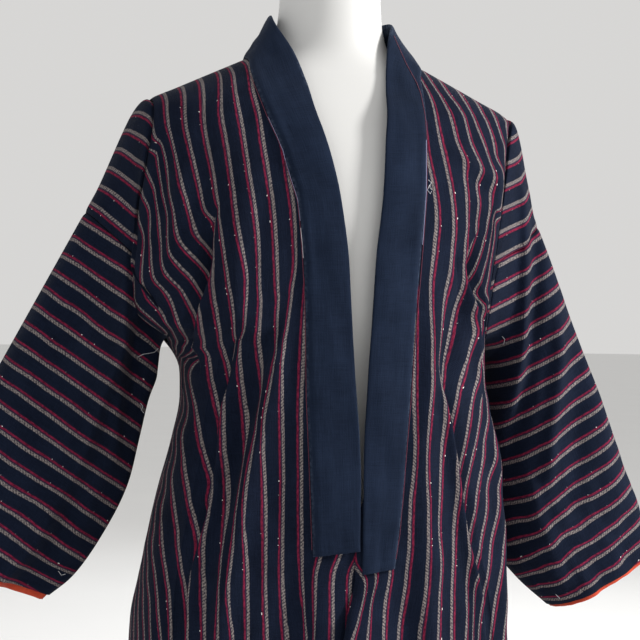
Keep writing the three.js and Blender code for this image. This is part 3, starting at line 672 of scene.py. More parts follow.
# Darkest and lightest colour of each material, and the colours of single details
colours = {
    "ground": ((0.0028, 0.0048, 0.0122), (0.0092, 0.0145, 0.0330)),
    "grey": ((0.036, 0.032, 0.044), (0.27, 0.235, 0.225)),
    "red": ((0.070, 0.006, 0.020), (0.23, 0.017, 0.052)),
    "collar": ((0.0036, 0.0070, 0.0170), (0.0135, 0.0230, 0.0490)),
    "lining": ((0.38, 0.028, 0.012), (0.66, 0.085, 0.032)),
    "plastic": ((0.62, 0.62, 0.615), (0.68, 0.68, 0.67)),
    "steel": ((0.50, 0.50, 0.51), (0.64, 0.64, 0.64)),
    "floor": ((0.74, 0.74, 0.735), (0.78, 0.78, 0.775)),
}
between_stripes = (0.040, 0.022, 0.060)
white_slub = (0.72, 0.68, 0.66)
worn_edge = (0.10, 0.13, 0.19)


def weave_height(n, u, v, ends_per_m):
    """Height of a plain weave with uneven hand-spun yarns."""
    warp = n.op("SINE", n.times(u, ends_per_m * math.pi))
    weft = n.op("SINE", n.times(v, ends_per_m * math.pi))
    plain = n.times(warp, weft)
    slubs = n.yarns(u, v, 900, 60, 2)
    picks = n.yarns(u, v, 60, 900, 2)
    uneven = n.plus(slubs, picks)
    return n.op("MULTIPLY_ADD", plain, 0.25, uneven)


def striped_material():
    n = Nodes("striped_cotton_detail")
    u, v = n.cloth()
    wobble = n.yarns(u, v, 54, 90)
    moved = n.op("MULTIPLY_ADD", n.minus(wobble, 0.5), 0.0009, u)
    cycles = n.plus(n.op("DIVIDE", moved, stripe_pitch * mm), 0.5)
    index = n.op("FLOOR", cycles)
    across = n.times(n.minus(n.minus(cycles, index), 0.5), stripe_pitch)
    grey = n.band(across, -4.1, -0.6, 0.5)
    red = n.band(across, 0.1, 2.6, 0.5)
    fleck_noise = n.yarns(u, v, 1300, 420, 3, 0.65)
    twist = n.op("SINE", n.op("MULTIPLY_ADD", v, 2100, n.times(u, 1500)))
    fleck = n.above(n.op("MULTIPLY_ADD", twist, 0.07, fleck_noise), 0.40, 0.60)
    grey_colour = n.mixed(fleck, *colours["grey"])
    red_noise = n.yarns(u, v, 700, 260, 3, 0.6)
    red_colour = n.mixed(n.above(red_noise, 0.35, 0.65), *colours["red"])
    cloud = n.noise(n.vector(u, v), 22, 4, 0.6)
    streaks = n.yarns(u, v, 1400, 55, 3, 0.6)
    picks = n.yarns(u, v, 90, 1500, 3, 0.6)
    ground_mix = n.op("MULTIPLY_ADD", n.plus(streaks, picks), 0.5, n.times(cloud, 0.5))
    ground = n.mixed(n.above(ground_mix, 0.52, 0.98), *colours["ground"])
    colour = n.mixed(grey, ground, grey_colour)
    colour = n.mixed(red, colour, red_colour)
    between = n.band(across, -0.75, 0.35, 0.3)
    colour = n.mixed(n.times(between, 0.55), colour, between_stripes)
    slub_place = n.vector(n.times(index, 13.7), n.times(v, 330))
    slub = n.above(n.noise(slub_place, 1, 0), 0.755, 0.78)
    slub = n.times(slub, n.band(across, 2.0, 3.2, 0.3))
    colour = n.mixed(slub, colour, white_slub)
    height = weave_height(n, u, v, 1500)
    raised = n.op("MULTIPLY_ADD", n.plus(grey, red), 0.5, height)
    n.bump(n.op("MULTIPLY_ADD", slub, 0.8, raised), 0.0006, 0.75)
    tint = (0.62, 0.66, 0.78)
    return n.finish(colour, 0.95, specular=0.08, sheen=0.02, sheen_roughness=0.4, sheen_tint=tint)


def indigo_material():
    n = Nodes("collar_cotton_detail")
    u, v = n.cloth()
    cloud = n.noise(n.vector(u, v), 16, 4, 0.6)
    streaks = n.yarns(u, v, 1500, 40, 3, 0.65)
    picks = n.yarns(u, v, 50, 1500, 3, 0.65)
    mix = n.op("MULTIPLY_ADD", n.plus(streaks, picks), 0.5, n.times(cloud, 0.6))
    colour = n.mixed(n.above(mix, 0.55, 1.05), *colours["collar"])
    from_middle = n.op("ABSOLUTE", n.minus(u, 0.0235))
    edge = n.above(from_middle, 0.0205, 0.0240)
    worn = n.times(edge, n.above(n.noise(n.vector(u, v), 300, 3), 0.40, 0.70))
    colour = n.mixed(n.times(worn, 0.5), colour, worn_edge)
    n.bump(weave_height(n, u, v, 1500), 0.0005, 0.6)
    tint = (0.6, 0.68, 0.85)
    return n.finish(colour, 0.94, specular=0.09, sheen=0.03, sheen_roughness=0.4, sheen_tint=tint)


def lining_material():
    n = Nodes("red_lining_detail")
    u, v = n.cloth()
    cloud = n.noise(n.vector(u, v), 60, 4, 0.6)
    streaks = n.yarns(u, v, 1500, 60, 3, 0.65)
    mix = n.op("MULTIPLY_ADD", streaks, 0.5, n.times(cloud, 0.5))
    colour = n.mixed(n.above(mix, 0.35, 0.68), *colours["lining"])
    n.bump(weave_height(n, u, v, 1700), 0.0004, 0.6)
    return n.finish(colour, 0.85, specular=0.3, sheen=0.2, sheen_tint=(1.0, 0.7, 0.6))


def plastic_material():
    n = Nodes("form_plastic_detail")
    place = n.place()
    colour = n.mixed(n.noise(place, 9, 3), *colours["plastic"])
    n.bump(n.noise(place, 700, 3), 0.0003, 0.06)
    return n.finish(colour, 0.42, specular=0.45)


def steel_material():
    n = Nodes("stand_metal_detail")
    x, y, z = n.parts(n.place())[:3]
    radius = n.op("POWER", n.op("MULTIPLY_ADD", x, x, n.times(y, y)), 0.5)
    rings = n.noise(n.vector(n.times(radius, 2400), n.times(z, 2400)), 1, 3, 0.7)
    colour = n.mixed(rings, *colours["steel"])
    n.bump(rings, 0.0002, 0.25)
    return n.finish(colour, 0.34, metallic=1.0)


def thread_material(name, dark, light):
    n = Nodes(name)
    place = n.place()
    colour = n.mixed(n.noise(place, 900, 2), dark, light)
    n.bump(n.noise(place, 2500, 2), 0.0002, 0.5)
    return n.finish(colour, 0.8, specular=0.3, sheen=0.2)


striped = striped_material()
indigo = indigo_material()
lining = lining_material()
plastic = plastic_material()
steel = steel_material()
white_thread = thread_material("thread_white", (0.55, 0.56, 0.62), (0.82, 0.82, 0.86))
violet_thread = thread_material("thread_violet", (0.20, 0.22, 0.42), (0.42, 0.44, 0.62))
crimson_thread = thread_material("thread_crimson", (0.055, 0.008, 0.022), (0.20, 0.03, 0.07))


# Body panels
def crease_tracks(panel):
    """Each crease as a curve of distance over row height and a curve of its strength."""
    made = []
    for crease in creases[panel]:
        x, z = on_front(crease["px"])
        more_height, more_x = zip(*crease["more"])
        heights = np.concatenate([row_height(x, z), more_height])
        track = Curve(heights, np.concatenate([np.abs(x), more_x]))
        made.append((track, table_curve(crease["strength"], 0, 1)))
    return made


tracks_of = {side: crease_tracks(side) for side in side_sign}

# A stripe traced up to this pixel row goes on to the shoulder, and a crease this strong parts the stripes
shoulder_px = 112
parting_strength = 0.15


def line_curves(panel):
    """Each traced stretch of a stripe: its value, a curve of distance over row height, the heights where it
    ends, and the side of each crease that it lies on."""
    made = []
    for number, points in stripes[panel]:
        x, z = on_front(points)
        height = row_height(x, z)
        keep = np.concatenate([[True], np.diff(height) < -0.3])
        x = x[keep]
        height = height[keep]
        low = -math.inf if points[-1][1] >= photo_px else height.min()
        high = math.inf if points[0][1] <= shoulder_px else height.max()
        distance = x * side_sign[panel]
        sides = []
        for track, strength in tracks_of[panel]:
            near = strength(height) > parting_strength
            offset = float(np.median((distance - track(height))[near])) if near.any() else 0
            sides.append((track, strength, (-1 if offset < 1 else 1) if near.any() else 0))
        made.append((number * stripe_pitch, Curve(height, distance), low, high, sides))
    return made


def crease_columns(inner, outer, tracks, height, half):
    """Distances of one row's columns, how far each stands out, and the same distances without the tuck."""
    xs = []
    outs = []
    plain = []
    start = inner
    for k, count in enumerate(column_counts):
        last = k == len(tracks)
        if last:
            end = outer
        else:
            track, strength = tracks[k]
            low = start + 1
            high = outer - 1
            if k == 0:
                high -= 4 + 23 * float(tracks[1][1](height))
            scale = min(1, max(0.1, (high - low) / crease_room))
            centre = min(max(float(track(height)), low + crease_reach * scale), high - crease_reach * scale)
            end = centre + crease_before[0, 0] * scale
        turns = np.linspace(turn_of(start, half), turn_of(end, half), count + last, endpoint=last)
        part = x_of(turns[1:] if k > 0 else turns, half)
        xs.append(part)
        plain.append(part)
        outs.append(np.zeros(len(part)))
        if last:
            break
        share = float(strength(height))
        tucked = flat_hidden + (crease_hidden[:, 0] - flat_hidden) * share
        for made, hidden in ((xs, tucked), (plain, flat_hidden)):
            made.append(centre + np.concatenate([crease_before[:, 0], hidden, crease_after[:, 0]]) * scale)
        outs.append(np.concatenate([crease_before[:, 1], crease_hidden[:, 1], crease_after[:, 1]]) * share)
        start = centre + crease_after[-1, 0] * scale
    return np.concatenate(xs), np.concatenate(outs), np.concatenate(plain)


# Rows of the panels lie closer together above this height
close_rows_z = 900


def front_heights():
    near = neck_z - 30 * np.linspace(1, 0, 22)[1:-1] ** 2
    return np.concatenate([np.arange(hem_z, 640, 4), np.arange(640, close_rows_z, 3), [close_rows_z], near])


def back_heights():
    near = neck_z - 30 * np.linspace(0, 1, 26)[1:-1] ** 2
    return np.concatenate([near, [close_rows_z], np.arange(896, 640, -4), np.arange(640, 114, -6), [hem_z]])


back_inner = Curve([900, 926.2, 927.5, 928.4, 929.2, 930], [0.35, 0.35, 22, 46, 66, 80])

# How far a front goes on under the neckband, depth used for the cloth's outward direction, seeds of the
# rumples, and how far the right front lies behind the left one where they lap
band_tuck = 7
normal_depth = 125
panel_seeds = {"right": (5, 6), "left": (9, 8)}
lap_depth = 2.2


def panel_row(panel, face, height, edge_z, ridge_turns):
    """What crease_columns gives for a row of the front, and the same for a row of the back."""
    half = float(half_width(side_sign[panel], edge_z))
    edge = front_edge[panel] if face == "front" else back_edge[panel]
    outer = min(float(edge(edge_z)) if edge_z > armpit_height else half, half)
    if face == "front":
        tucked = float(seam_x[panel](height)) - band_tuck
        share = float(smooth_step((height - collar_end[panel] - 25) / 170))
        inner = float(free_edge[panel](height)) * (1 - share) + tucked * share
        return crease_columns(inner, outer, tracks_of[panel], height, half)
    low = turn_of(float(back_inner(height)), half)
    high = turn_of(outer, half)
    spread = smooth_step((neck_z - height) / 90)
    even = np.linspace(0, 1, len(ridge_turns))
    xs = x_of(low + (high - low) * (ridge_turns * (1 - spread) + even * spread), half)
    return xs, np.zeros(len(xs)), xs


def panel_points(panel, face, heights, ridge_turns=None):
    """Points of one face of a body panel, and each column's distance from the middle without the tucks."""
    rows = []
    for height in heights:
        drop = float(row_drop(height))
        xs, outs, plain = panel_row(panel, face, height, height - drop, ridge_turns)
        x = side_sign[panel] * xs
        rows.append((x, height - drop * beyond_neck(x), outs, plain))
    x, z, out, width = (np.array(column) for column in zip(*rows))
    y = cloth_y(x, z, face)
    from_outer = width[:, -1:] - width
    from_inner = width - width[:, :1]
    folded = np.zeros(x.shape)
    for name, side, *fold in folds:
        if name == panel and side == face:
            folded += fold_field(x, z, *fold)
    height_grid = np.array(heights)[:, None]
    under_band = 1
    near_band = smooth_step(from_inner / 20)
    if face == "front":
        under_band = smooth_step((height_grid - collar_end[panel] + 50) / 50)
        near_band = smooth_step((from_inner - 8) / 26)
    fade = 1 - under_band * (1 - near_band)
    fade = fade * (0.35 + 0.65 * smooth_step(from_outer / 22))
    fade = fade * smooth_step((neck_z - height_grid) / 60)
    wide_seed, long_seed = panel_seeds[panel]
    folded = folded * fold_depth + rumple(x, z, wide_seed) * 1.3
    folded += rumple(x, z * 0.3, long_seed, 22) * 1.9
    seam_dip = np.exp(-(from_outer / 3.0) ** 2) * 1.3
    out = out + folded * fade - seam_dip
    if face == "front" and panel == "right":
        out = out - lap_depth * smooth_step((14 - width) / 12) * smooth_step((620 - height_grid) / 60)
    normal_x = x / half_width(x, z) ** 2
    normal_y = (y - ring_centre_y) / normal_depth ** 2
    length = np.hypot(normal_x, normal_y)
    x = x + normal_x / length * out
    y = y + normal_y / length * out
    return np.stack([x, y, z], axis=2), width


# How strongly neighbouring columns keep their distance: on cloth that shows, and hidden inside a crease
cloth_pull = 0.06
hidden_pull = 0.004


def front_stripes(panel, points, plain, heights):
    """Distance across the cloth at every point of a front, so that each traced stripe keeps its number."""
    lines = line_curves(panel)
    rows, cols = plain.shape
    lengths = np.linalg.norm(np.diff(points, axis=1), axis=2)
    hidden_spans = len(crease_hidden) + 1
    first = column_counts[0] + len(crease_before) - 1
    second = first + hidden_spans + len(crease_after) + column_counts[1] - 1 + len(crease_before) - 1
    index = np.arange(cols - 1)
    values = np.zeros((rows, cols))
    for j, height in enumerate(heights):
        matrix = np.zeros((cols, cols))
        target = np.zeros(cols)
        hidden = np.zeros(cols - 1, bool)
        for start, (_, strength) in zip((first, second), tracks_of[panel]):
            hidden[start:start + hidden_spans] = float(strength(height)) > 0.1
        weight = np.where(hidden, hidden_pull, cloth_pull) / np.maximum(0.4, lengths[j])
        for a, b, sign in ((0, 0, 1), (1, 1, 1), (0, 1, -1), (1, 0, -1)):
            np.add.at(matrix, (index + a, index + b), sign * weight)
        for a, sign in ((0, -1), (1, 1)):
            np.add.at(target, index + a, sign * weight * lengths[j])
        for value, curve, low, high, sides in lines:
            if not low <= height <= high:
                continue
            at = float(curve(height))
            for track, strength, side in sides:
                if side and float(strength(height)) > parting_strength:
                    edge = float(track(height))
                    at = min(at, edge - 0.7) if side < 0 else max(at, edge + 1.5)
            if at > plain[j, -1] or at < plain[j, 0] - 8:
                continue
            i = int(np.clip(np.searchsorted(plain[j], at) - 1, 0, cols - 2))
            t = (at - plain[j, i]) / (plain[j, i + 1] - plain[j, i])
            sure = min(1, (height - low) / 8 + 0.03, (high - height) / 8 + 0.03)
            for a, share_a in ((i, 1 - t), (i + 1, t)):
                target[a] += sure * share_a * value
                for b, share_b in ((i, 1 - t), (i + 1, t)):
                    matrix[a, b] += sure * share_a * share_b
        values[j] = np.linalg.solve(matrix, target)
    for _ in range(7):
        padded = np.concatenate([values[:1], values, values[-1:]])
        values = (padded[:-2] + 2 * padded[1:-1] + padded[2:]) / 4
    return values


# Stripe value at the centre back seam of each panel
back_start = {"right": -42, "left": -6}


def back_stripes(panel, points, plain, ridge_plain, ridge_values):
    """Distance across the cloth at every point of a back, which joins the front's at the shoulder ridge."""
    values = back_start[panel] + plain[:, :1] + run_along(points, 1)
    slope = math.hypot(ridge_run, ridge_fall) / ridge_run
    ridge_guess = back_start[panel] + neck_x + (ridge_plain - neck_x) * slope
    difference = Curve(ridge_plain, ridge_values - ridge_guess)
    middle_column = 30
    fade = 1 - smooth_step(run_along(points[:, middle_column], 0) / 90)
    return values + difference(plain) * fade[:, None]


cloth_thickness = 1.1


def build_panel(panel):
    heights = front_heights()
    front, plain = panel_points(panel, "front", heights)
    just_below_ridge = neck_z - 0.1
    ridge_x = crease_columns(neck_x - 6, tip_x, tracks_of[panel], just_below_ridge, 196)[2]
    ridge_z = neck_z - (ridge_x - neck_x) * ridge_fall / ridge_run
    ridge = np.stack([side_sign[panel] * ridge_x, np.full(len(ridge_x), ring_centre_y), ridge_z], axis=1)
    turns = turn_of(ridge_x, tip_x)
    turns = (turns - turns[0]) / (turns[-1] - turns[0])
    back, back_plain = panel_points(panel, "back", back_heights(), turns)
    back = np.concatenate([ridge[None], back])
    back_plain = np.concatenate([ridge_x[None], back_plain])
    points = np.concatenate([front, back])
    front_values = front_stripes(panel, front, plain, heights)
    ridge_values = Curve(plain[-1] + np.arange(plain.shape[1]) * 1e-4, front_values[-1])(ridge_x)
    back_values = back_stripes(panel, back, back_plain, ridge_x, ridge_values)
    uv = np.stack([np.concatenate([front_values, back_values]), run_along(points, 0)], axis=2)
    piece = grid_object(f"body_{panel}_cloth", points, striped, uv, flip=panel == "right")
    shell(piece, cloth_thickness)
    declare(piece, f"body_{panel}")
    return piece


# Sleeves. Sections: distance down the top edge, x and z of the under-arm edge, half thickness and how far
# that edge lies back. Front: how far the front bulges from the top edge to the under-arm edge. Slopes of the
# stripes on the upper piece, at the seam and on the lower piece, their slope near the body and how far out it
# reaches at each height. How much lining shows above and below. Seeds of the rumples in shape and stripes.
sleeve_shapes = {
    "right": {
        "cuff": (-397, 469), "seam": 124, "slopes": (0.88, 0.95, 0.69), "first_pairs": (4.0, 131.5),
        "inner_slope": 1.1, "bend": Curve([400, 600, 700, 880], [100, 150, 190, 190]),
        "lining_shows": (3.0, 4.5), "seeds": (21, 51),
        "sections": [(0, -160.4, 655, 50, 0), (30, -161, 652, 50, 2), (60, -161.5, 648, 49, 4),
                     (122, -162, 637, 46, 8), (180, -163, 620, 44, 12), (251, -171, 594, 43, 14),
                     (290, -179, 557, 42, 14), (328, -188, 518, 41, 12), (392, -216, 461, 40, 8),
                     (438, -243, 425, 38, 4), (469, -263, 410, 37, 0)],
        "front": [(0, 0), (0.02, 0.24), (0.07, 0.46), (0.18, 0.66), (0.40, 0.84), (0.60, 0.97), (0.66, 1.0),
                  (0.69, 0.86), (0.74, 0.58), (0.84, 0.34), (0.94, 0.18), (0.98, 0.10), (1, 0)],
    },
    "left": {
        "cuff": (364.5, 445), "seam": 116, "slopes": (0.80, 0.80, 0.62), "first_pairs": (2.0, 122.0),
        "inner_slope": 0.42, "bend": Curve([400, 600, 640, 755, 795, 880], [180, 190, 196, 196, 192, 180]),
        "lining_shows": (2.8, 1.8), "seeds": (33, 53),
        "sections": [(0, 168.4, 655, 50, 0), (30, 171, 652, 50, 3), (60, 173, 647, 48, 6),
                     (114, 174.5, 635, 46, 10), (180, 175, 616, 45, 14), (256, 177, 592, 44, 16),
                     (300, 182, 556, 43, 16), (350, 189, 500, 42, 16), (409, 196, 440, 40, 12),
                     (440, 214, 415, 38, 6), (477, 246, 387, 36, 0)],
        "front": [(0, 0), (0.015, 0.22), (0.06, 0.45), (0.14, 0.64), (0.30, 0.82), (0.48, 0.92), (0.66, 1.0),
                  (0.80, 0.94), (0.91, 0.66), (0.97, 0.34), (0.99, 0.18), (1, 0)],
    },
}
sleeve_end = {name: shape["sections"][-1][0] for name, shape in sleeve_shapes.items()}
sleeve_pitch = 18.6
armhole_blend = 105
ring_points = 144
seam_gap = 0.25

# Where the front of the right armhole starts to bend in, as x and z, and x at the armpit
armhole_bend = (195.5, 727)
armpit_x = 160

# Folds of the sleeves as x and z: only on the front half where front is True, on the back half otherwise
sleeve_folds = {
    "right": [
        (True, [(-203, 750), (-202, 680), (-202, 600), (-204, 530)], 5, 9, 5),
        (True, [(-190, 700), (-188, 640), (-187, 590)], 7, 6, -7),
        (True, [(-228, 760), (-236, 680), (-262, 600), (-290, 520)], 16, 16, -3),
        (True, [(-262, 730), (-290, 640), (-330, 540)], 18, 18, 2.5),
        (True, [(-216, 700), (-222, 640), (-236, 560), (-262, 470)], 10, 12, -3.5),
        (True, [(-205, 560), (-232, 480), (-262, 430)], 10, 10, 3),
        (False, [(-215, 800), (-225, 700), (-262, 580), (-320, 480)], 20, 22, -5),
        (False, [(-185, 690), (-200, 600), (-240, 500)], 16, 16, 5),
    ],
    "left": [
        (True, [(181, 838), (192, 795), (196, 755), (197, 690), (195, 640), (189, 600), (180, 560)], 7, 9, 6),
        (True, [(214, 800), (214, 740), (212, 680), (207, 620), (200, 570), (198, 520)], 8, 9, -4.5),
        (True, [(238, 700), (240, 640), (236, 600), (232, 560), (230, 500)], 9, 9, 4.5),
        (True, [(258, 720), (262, 640), (262, 560), (266, 480)], 12, 12, -3),
        (True, [(290, 640), (296, 560), (310, 480)], 14, 14, 2.5),
        (True, [(206, 540), (222, 480), (246, 440)], 9, 9, 4),
        (False, [(215, 800), (225, 700), (252, 580), (300, 470)], 20, 22, -5),
        (False, [(190, 690), (200, 600), (226, 500)], 16, 16, 5),
    ],
}


def armhole_ring(name, turns):
    sign = side_sign[name]
    middle = (tip_z + armpit_height) / 2
    half = (tip_z - armpit_height) / 2
    z = middle + half * np.cos(turns)
    front = turns < math.pi
    x = np.where(front, front_edge[name](z), back_edge[name](z))
    bend_x, bend_z = armhole_bend
    bent = armpit_x + (bend_x - armpit_x) * smooth_step((z - armpit_height) / (bend_z - armpit_height))
    x = np.where(front & (z < bend_z) & (name == "right"), bent, x)
    limited = sign * np.minimum(x, half_width(sign, z))
    y = np.where(front, cloth_y(limited, z), cloth_y(limited, z, "back"))
    on_edge = np.abs(np.sin(turns)) < 1e-6
    y = np.where(on_edge, ring_centre_y, y)
    return np.stack([sign * (x + 0.4), y, z], axis=-1)


def near_cuff(name, along):
    """One at a cuff, and zero from 170 mm up the sleeve."""
    return smooth_step((along - sleeve_end[name] + 170) / 130)


def sleeve_points(name, along, turns):
    """Points of a sleeve at distances down its top edge and turns round it, both as grids."""
    shape = sleeve_shapes[name]
    sign = side_sign[name]
    cuff_x, cuff_z = shape["cuff"]
    start = np.array([sign * tip_x, ring_centre_y, tip_z], float)
    cuff = np.array([cuff_x, ring_centre_y, cuff_z], float)
    direction = (cuff - start) / np.linalg.norm(cuff - start)
    under_x, under_z, thickness, back = (table_curve(shape["sections"], 0, k)(along) for k in range(1, 5))
    top = start + direction * along[..., None]
    bottom = np.stack([under_x, ring_centre_y + back, under_z], axis=-1)
    sine = np.sin(turns)
    q = (1 - np.cos(turns)) / 2
    depth_share = np.where(turns < math.pi, table_curve(shape["front"], 0, 1)(q), -np.abs(sine))
    section = top + (bottom - top) * q[..., None]
    blend = smooth_step(along / armhole_blend)
    root = armhole_ring(name, turns)
    root[..., 0] += sign * along * 0.25 * (0.5 + 0.5 * np.cos(turns))
    place = root + (section - root) * blend[..., None]
    x = place[..., 0]
    z = place[..., 2]
    push = np.zeros(along.shape)
    for is_front, *fold in sleeve_folds[name]:
        facing = np.clip(sine * (1 if is_front else -1) * 2.5, 0, 1)
        push = push + fold_field(x, z, *fold) * facing * fold_depth
    crumple = 2.6 * near_cuff(name, along)
    push = push + rumple(x + 40 * sine, z, 61, 21) * (0.5 + crumple)
    push = push + rumple(x + 40 * sine, z, shape["seeds"][0]) * (1.4 + crumple)
    section[..., 1] -= thickness * depth_share
    points = root + (section - root) * blend[..., None]
    points[..., 1] -= push * blend * np.sign(sine) * np.minimum(1, np.abs(sine) * 3)
    return points


def stripe_distance(name, points, slope):
    """Distance down the top edge of the stripe line that runs through each point."""
    shape = sleeve_shapes[name]
    sign = side_sign[name]
    edge = np.array([shape["cuff"][0] - sign * tip_x, shape["cuff"][1] - tip_z], float)
    edge /= np.linalg.norm(edge)
    stripe = np.array([-sign, -slope]) / math.hypot(1, slope)
    turned = edge[0] * stripe[1] - edge[1] * stripe[0]
    x = points[..., 0] - sign * tip_x
    z = points[..., 2] - tip_z
    straight = (x * stripe[1] - z * stripe[0]) / turned
    rise = abs(stripe[0] / turned)
    inside = np.maximum(0, shape["bend"](points[..., 2]) - np.abs(points[..., 0]))
    inside = inside ** 2 / (inside + 6)
    return straight + rise * (slope - shape["inner_slope"]) * inside


def outward_normals(points):
    normals = grid_normals(points, wrap=True)
    centre = points.mean(axis=1, keepdims=True)
    if np.mean(np.sum(normals * (points - centre), axis=2)) < 0:
        normals = -normals
    return normals


def sleeve_seam(name):
    """Distance down the top edge at which the seam between the sleeve's pieces crosses each turn."""
    shape = sleeve_shapes[name]
    end = sleeve_end[name]
    fine = np.linspace(0, end, 160)
    along, turn = np.meshgrid(fine, ring_turns(ring_points), indexing="ij")
    values = stripe_distance(name, sleeve_points(name, along, turn), shape["slopes"][1])
    values = np.maximum.accumulate(values + along * 1e-6, axis=0)
    seam = np.array([np.interp(shape["seam"], values[:, k], fine) for k in range(ring_points)])
    seam = np.clip(seam, 24, end - 60)
    for _ in range(6):
        seam = (np.roll(seam, 1) + 2 * seam + np.roll(seam, -1)) / 4
    return seam


def build_sleeve(name):
    shape = sleeve_shapes[name]
    sign = side_sign[name]
    seam = sleeve_seam(name)
    pieces = []
    for k, (part, rows) in enumerate((("upper", 40), ("lower", 110))):
        upper = part == "upper"
        share = np.linspace(0, 1, rows)[:, None]
        if upper:
            along = share * (seam - seam_gap)[None]
        else:
            along = (seam + seam_gap)[None] + share * (sleeve_end[name] - seam - seam_gap)[None]
        turn = np.broadcast_to(ring_turns(ring_points), along.shape)
        points = sleeve_points(name, along, turn)
        near = near_cuff(name, along)
        x = points[..., 0] + 50 * np.sin(turn)
        z = points[..., 2]
        value = stripe_distance(name, points, shape["slopes"][2 * k])
        value = value + rumple(x, z, 62, 24) * (0.4 + 1.5 * near)
        value = value + rumple(x, z, shape["seeds"][1], 52) * (1.3 + 2.6 * near)
        normals = outward_normals(points)
        dip = np.exp(-(np.abs(along - seam[None]) / 2.6) ** 2) * 1.2
        if upper:
            dip = dip + np.exp(-(along / 3.0) ** 2) * 1.2
        points = points - normals * dip[..., None]
        if upper:
            tuck = points[:1] - normals[:1] * 2.5
            tuck[..., 0] -= sign * 6
            points = np.concatenate([tuck, points])
            value = np.concatenate([value[:1] - 6, value])
        across = (value - shape["first_pairs"][k]) * (stripe_pitch / sleeve_pitch) * (1 if upper else -1)
        across = np.concatenate([across, across[:, :1]], axis=1)
        uv = np.stack([across, run_along(points, 1, wrap=True)], axis=2)
        piece = grid_object(f"sleeve_{name}_{part}_cloth", points, striped, uv, wrap=True, flip=sign < 0)
        shell(piece, cloth_thickness)
        declare(piece, f"sleeve_{name}_{part}")
        pieces.append(piece)
    return pieces


# Share of the lining that has come past the cuff and how far it stands out there
lining_edge = ((0.5, 0.5), (0.85, 0.9), (1.0, 0.6), (0.9, -0.2))


def build_cuff(name):
    """Red lining just inside a cuff, which shows past the edge, more below than above."""
    end = sleeve_end[name]
    turns = ring_turns(ring_points)
    fine = np.concatenate([np.linspace(end - 60, end - 8, 10), np.linspace(end - 6, end, 5)])
    along, turn = np.meshgrid(fine, turns, indexing="ij")
    points = sleeve_points(name, along, turn)
    normals = outward_normals(points)
    inside = points - normals * 2.0
    onwards = inside[-1] - inside[-3]
    onwards /= np.linalg.norm(onwards, axis=1, keepdims=True)
    least, more = sleeve_shapes[name]["lining_shows"]
    shows = (least + more * (1 - np.cos(turns)) / 2)[:, None]
    extra = [inside[-1] + onwards * shows * share + normals[-1] * out for share, out in lining_edge]
    rows = np.concatenate([inside, np.array(extra)])
    down = run_along(rows, 0)
    uv = np.stack([run_along(rows, 1, wrap=True), np.concatenate([down, down[:, :1]], axis=1)], axis=2)
    piece = grid_object(f"cuff_{name}_cloth", rows, lining, uv, wrap=True, flip=name == "right")
    shell(piece, 0.8)
    declare(piece, f"cuff_lining_{name}")
    return piece


# Middle column of the neckband, its mean width, half its thickness and how its ends are rounded off
band_middle = 8
band_width = 46
band_half = 1.45
end_step = 0.9
end_shrink = 0.45


def build_collar():
    across = np.concatenate([[0, 0.015, 0.04, 0.08], np.linspace(0.14, 0.86, 13), [0.92, 0.96, 0.985, 1]])
    surface = collar_surface(8, across)
    rows = len(surface)
    normals = grid_normals(surface)
    if normals[rows // 4, band_middle, 1] > 0:
        normals = -normals
    width = np.linalg.norm(surface[:, -1] - surface[:, 0], axis=1)
    along = run_along(surface[:, band_middle], 0)
    on_chest = np.clip((905 - surface[:, band_middle, 2]) / 40, 0, 1)
    lift = 0.7 + 2.4 * smooth_step(across / 0.14)
    run = along[:, None]
    over = across[None] * band_width
    ripple = 0.8 * rumple(run, over, 3, 18) * np.exp(-across[None] * 3) + 0.9 * rumple(run, over, 4, 50)
    ripple = ripple + 0.7 * rumple(run * 0.25, over, 7, 16)
    from_end = np.minimum(along, along[-1] - along)[:, None]
    ripple = ripple + 1.3 * rumple(run, over, 12, 15) * np.exp(-from_end / 30)
    ripple = ripple * (0.15 + 1.6 * smooth_step(across[None] / 0.3))
    middle = surface + normals * (lift[None] * (0.35 + 0.65 * on_chest[:, None]) + ripple)[..., None]
    rounded = np.sqrt(np.clip(1 - np.abs(2 * across - 1) ** 14, 0, 1))
    half = band_half * rounded[None] * np.ones((rows, 1))
    outer = middle + normals * half[..., None]
    inner = middle - normals * half[..., None]
    loop = np.concatenate([outer, inner[:, -2:0:-1]], axis=1)
    ends = []
    for row, before in ((0, 1), (-1, -2)):
        step = loop[row] - loop[before]
        step = step / np.linalg.norm(step, axis=1, keepdims=True) * end_step
        row_middle = np.concatenate([middle[row], middle[row][-2:0:-1]])
        ends.append((loop[row] + step + (row_middle - loop[row]) * end_shrink)[None])
    points = np.concatenate([ends[0], loop, ends[1]])
    run = np.concatenate([[-end_step], along, [along[-1] + end_step]])
    flat = across[None] * width[:, None]
    flat = np.concatenate([flat[:1], flat, flat[-1:]])
    u = np.concatenate([flat, flat[:, -2:0:-1], flat[:, :1]], axis=1)
    uv = np.stack([u, np.broadcast_to(run[:, None], u.shape)], axis=2)
    piece = grid_object("collar_cloth", points, indigo, uv, wrap=True, flip=True, caps=True)
    declare(piece, "collar")
    return piece


# Limbless form: height, half width, depths front and back
form_rings = [
    (340, 138, 110, 92), (344, 144, 116, 98), (356, 148, 120, 102), (400, 150, 122, 104),
    (480, 145, 120, 100), (560, 134.5, 116, 96), (620, 133, 118, 98), (690, 146, 122, 101),
    (750, 156, 121, 101), (800, 163, 115, 98), (840, 168, 106, 94), (862, 170, 97, 91), (876, 168, 90, 88),
    (886, 162, 84, 85), (896, 149, 78, 81), (908, 126, 71, 75), (918, 102, 65, 69), (927, 80, 61, 64),
    (937, 66, 58, 60), (950, 57, 56, 57), (970, 52, 54, 53), (1000, 50, 52, 51), (1034, 50, 52, 51),
    (1038, 48.6, 50.6, 49.6), (1040, 46, 48, 47),
]


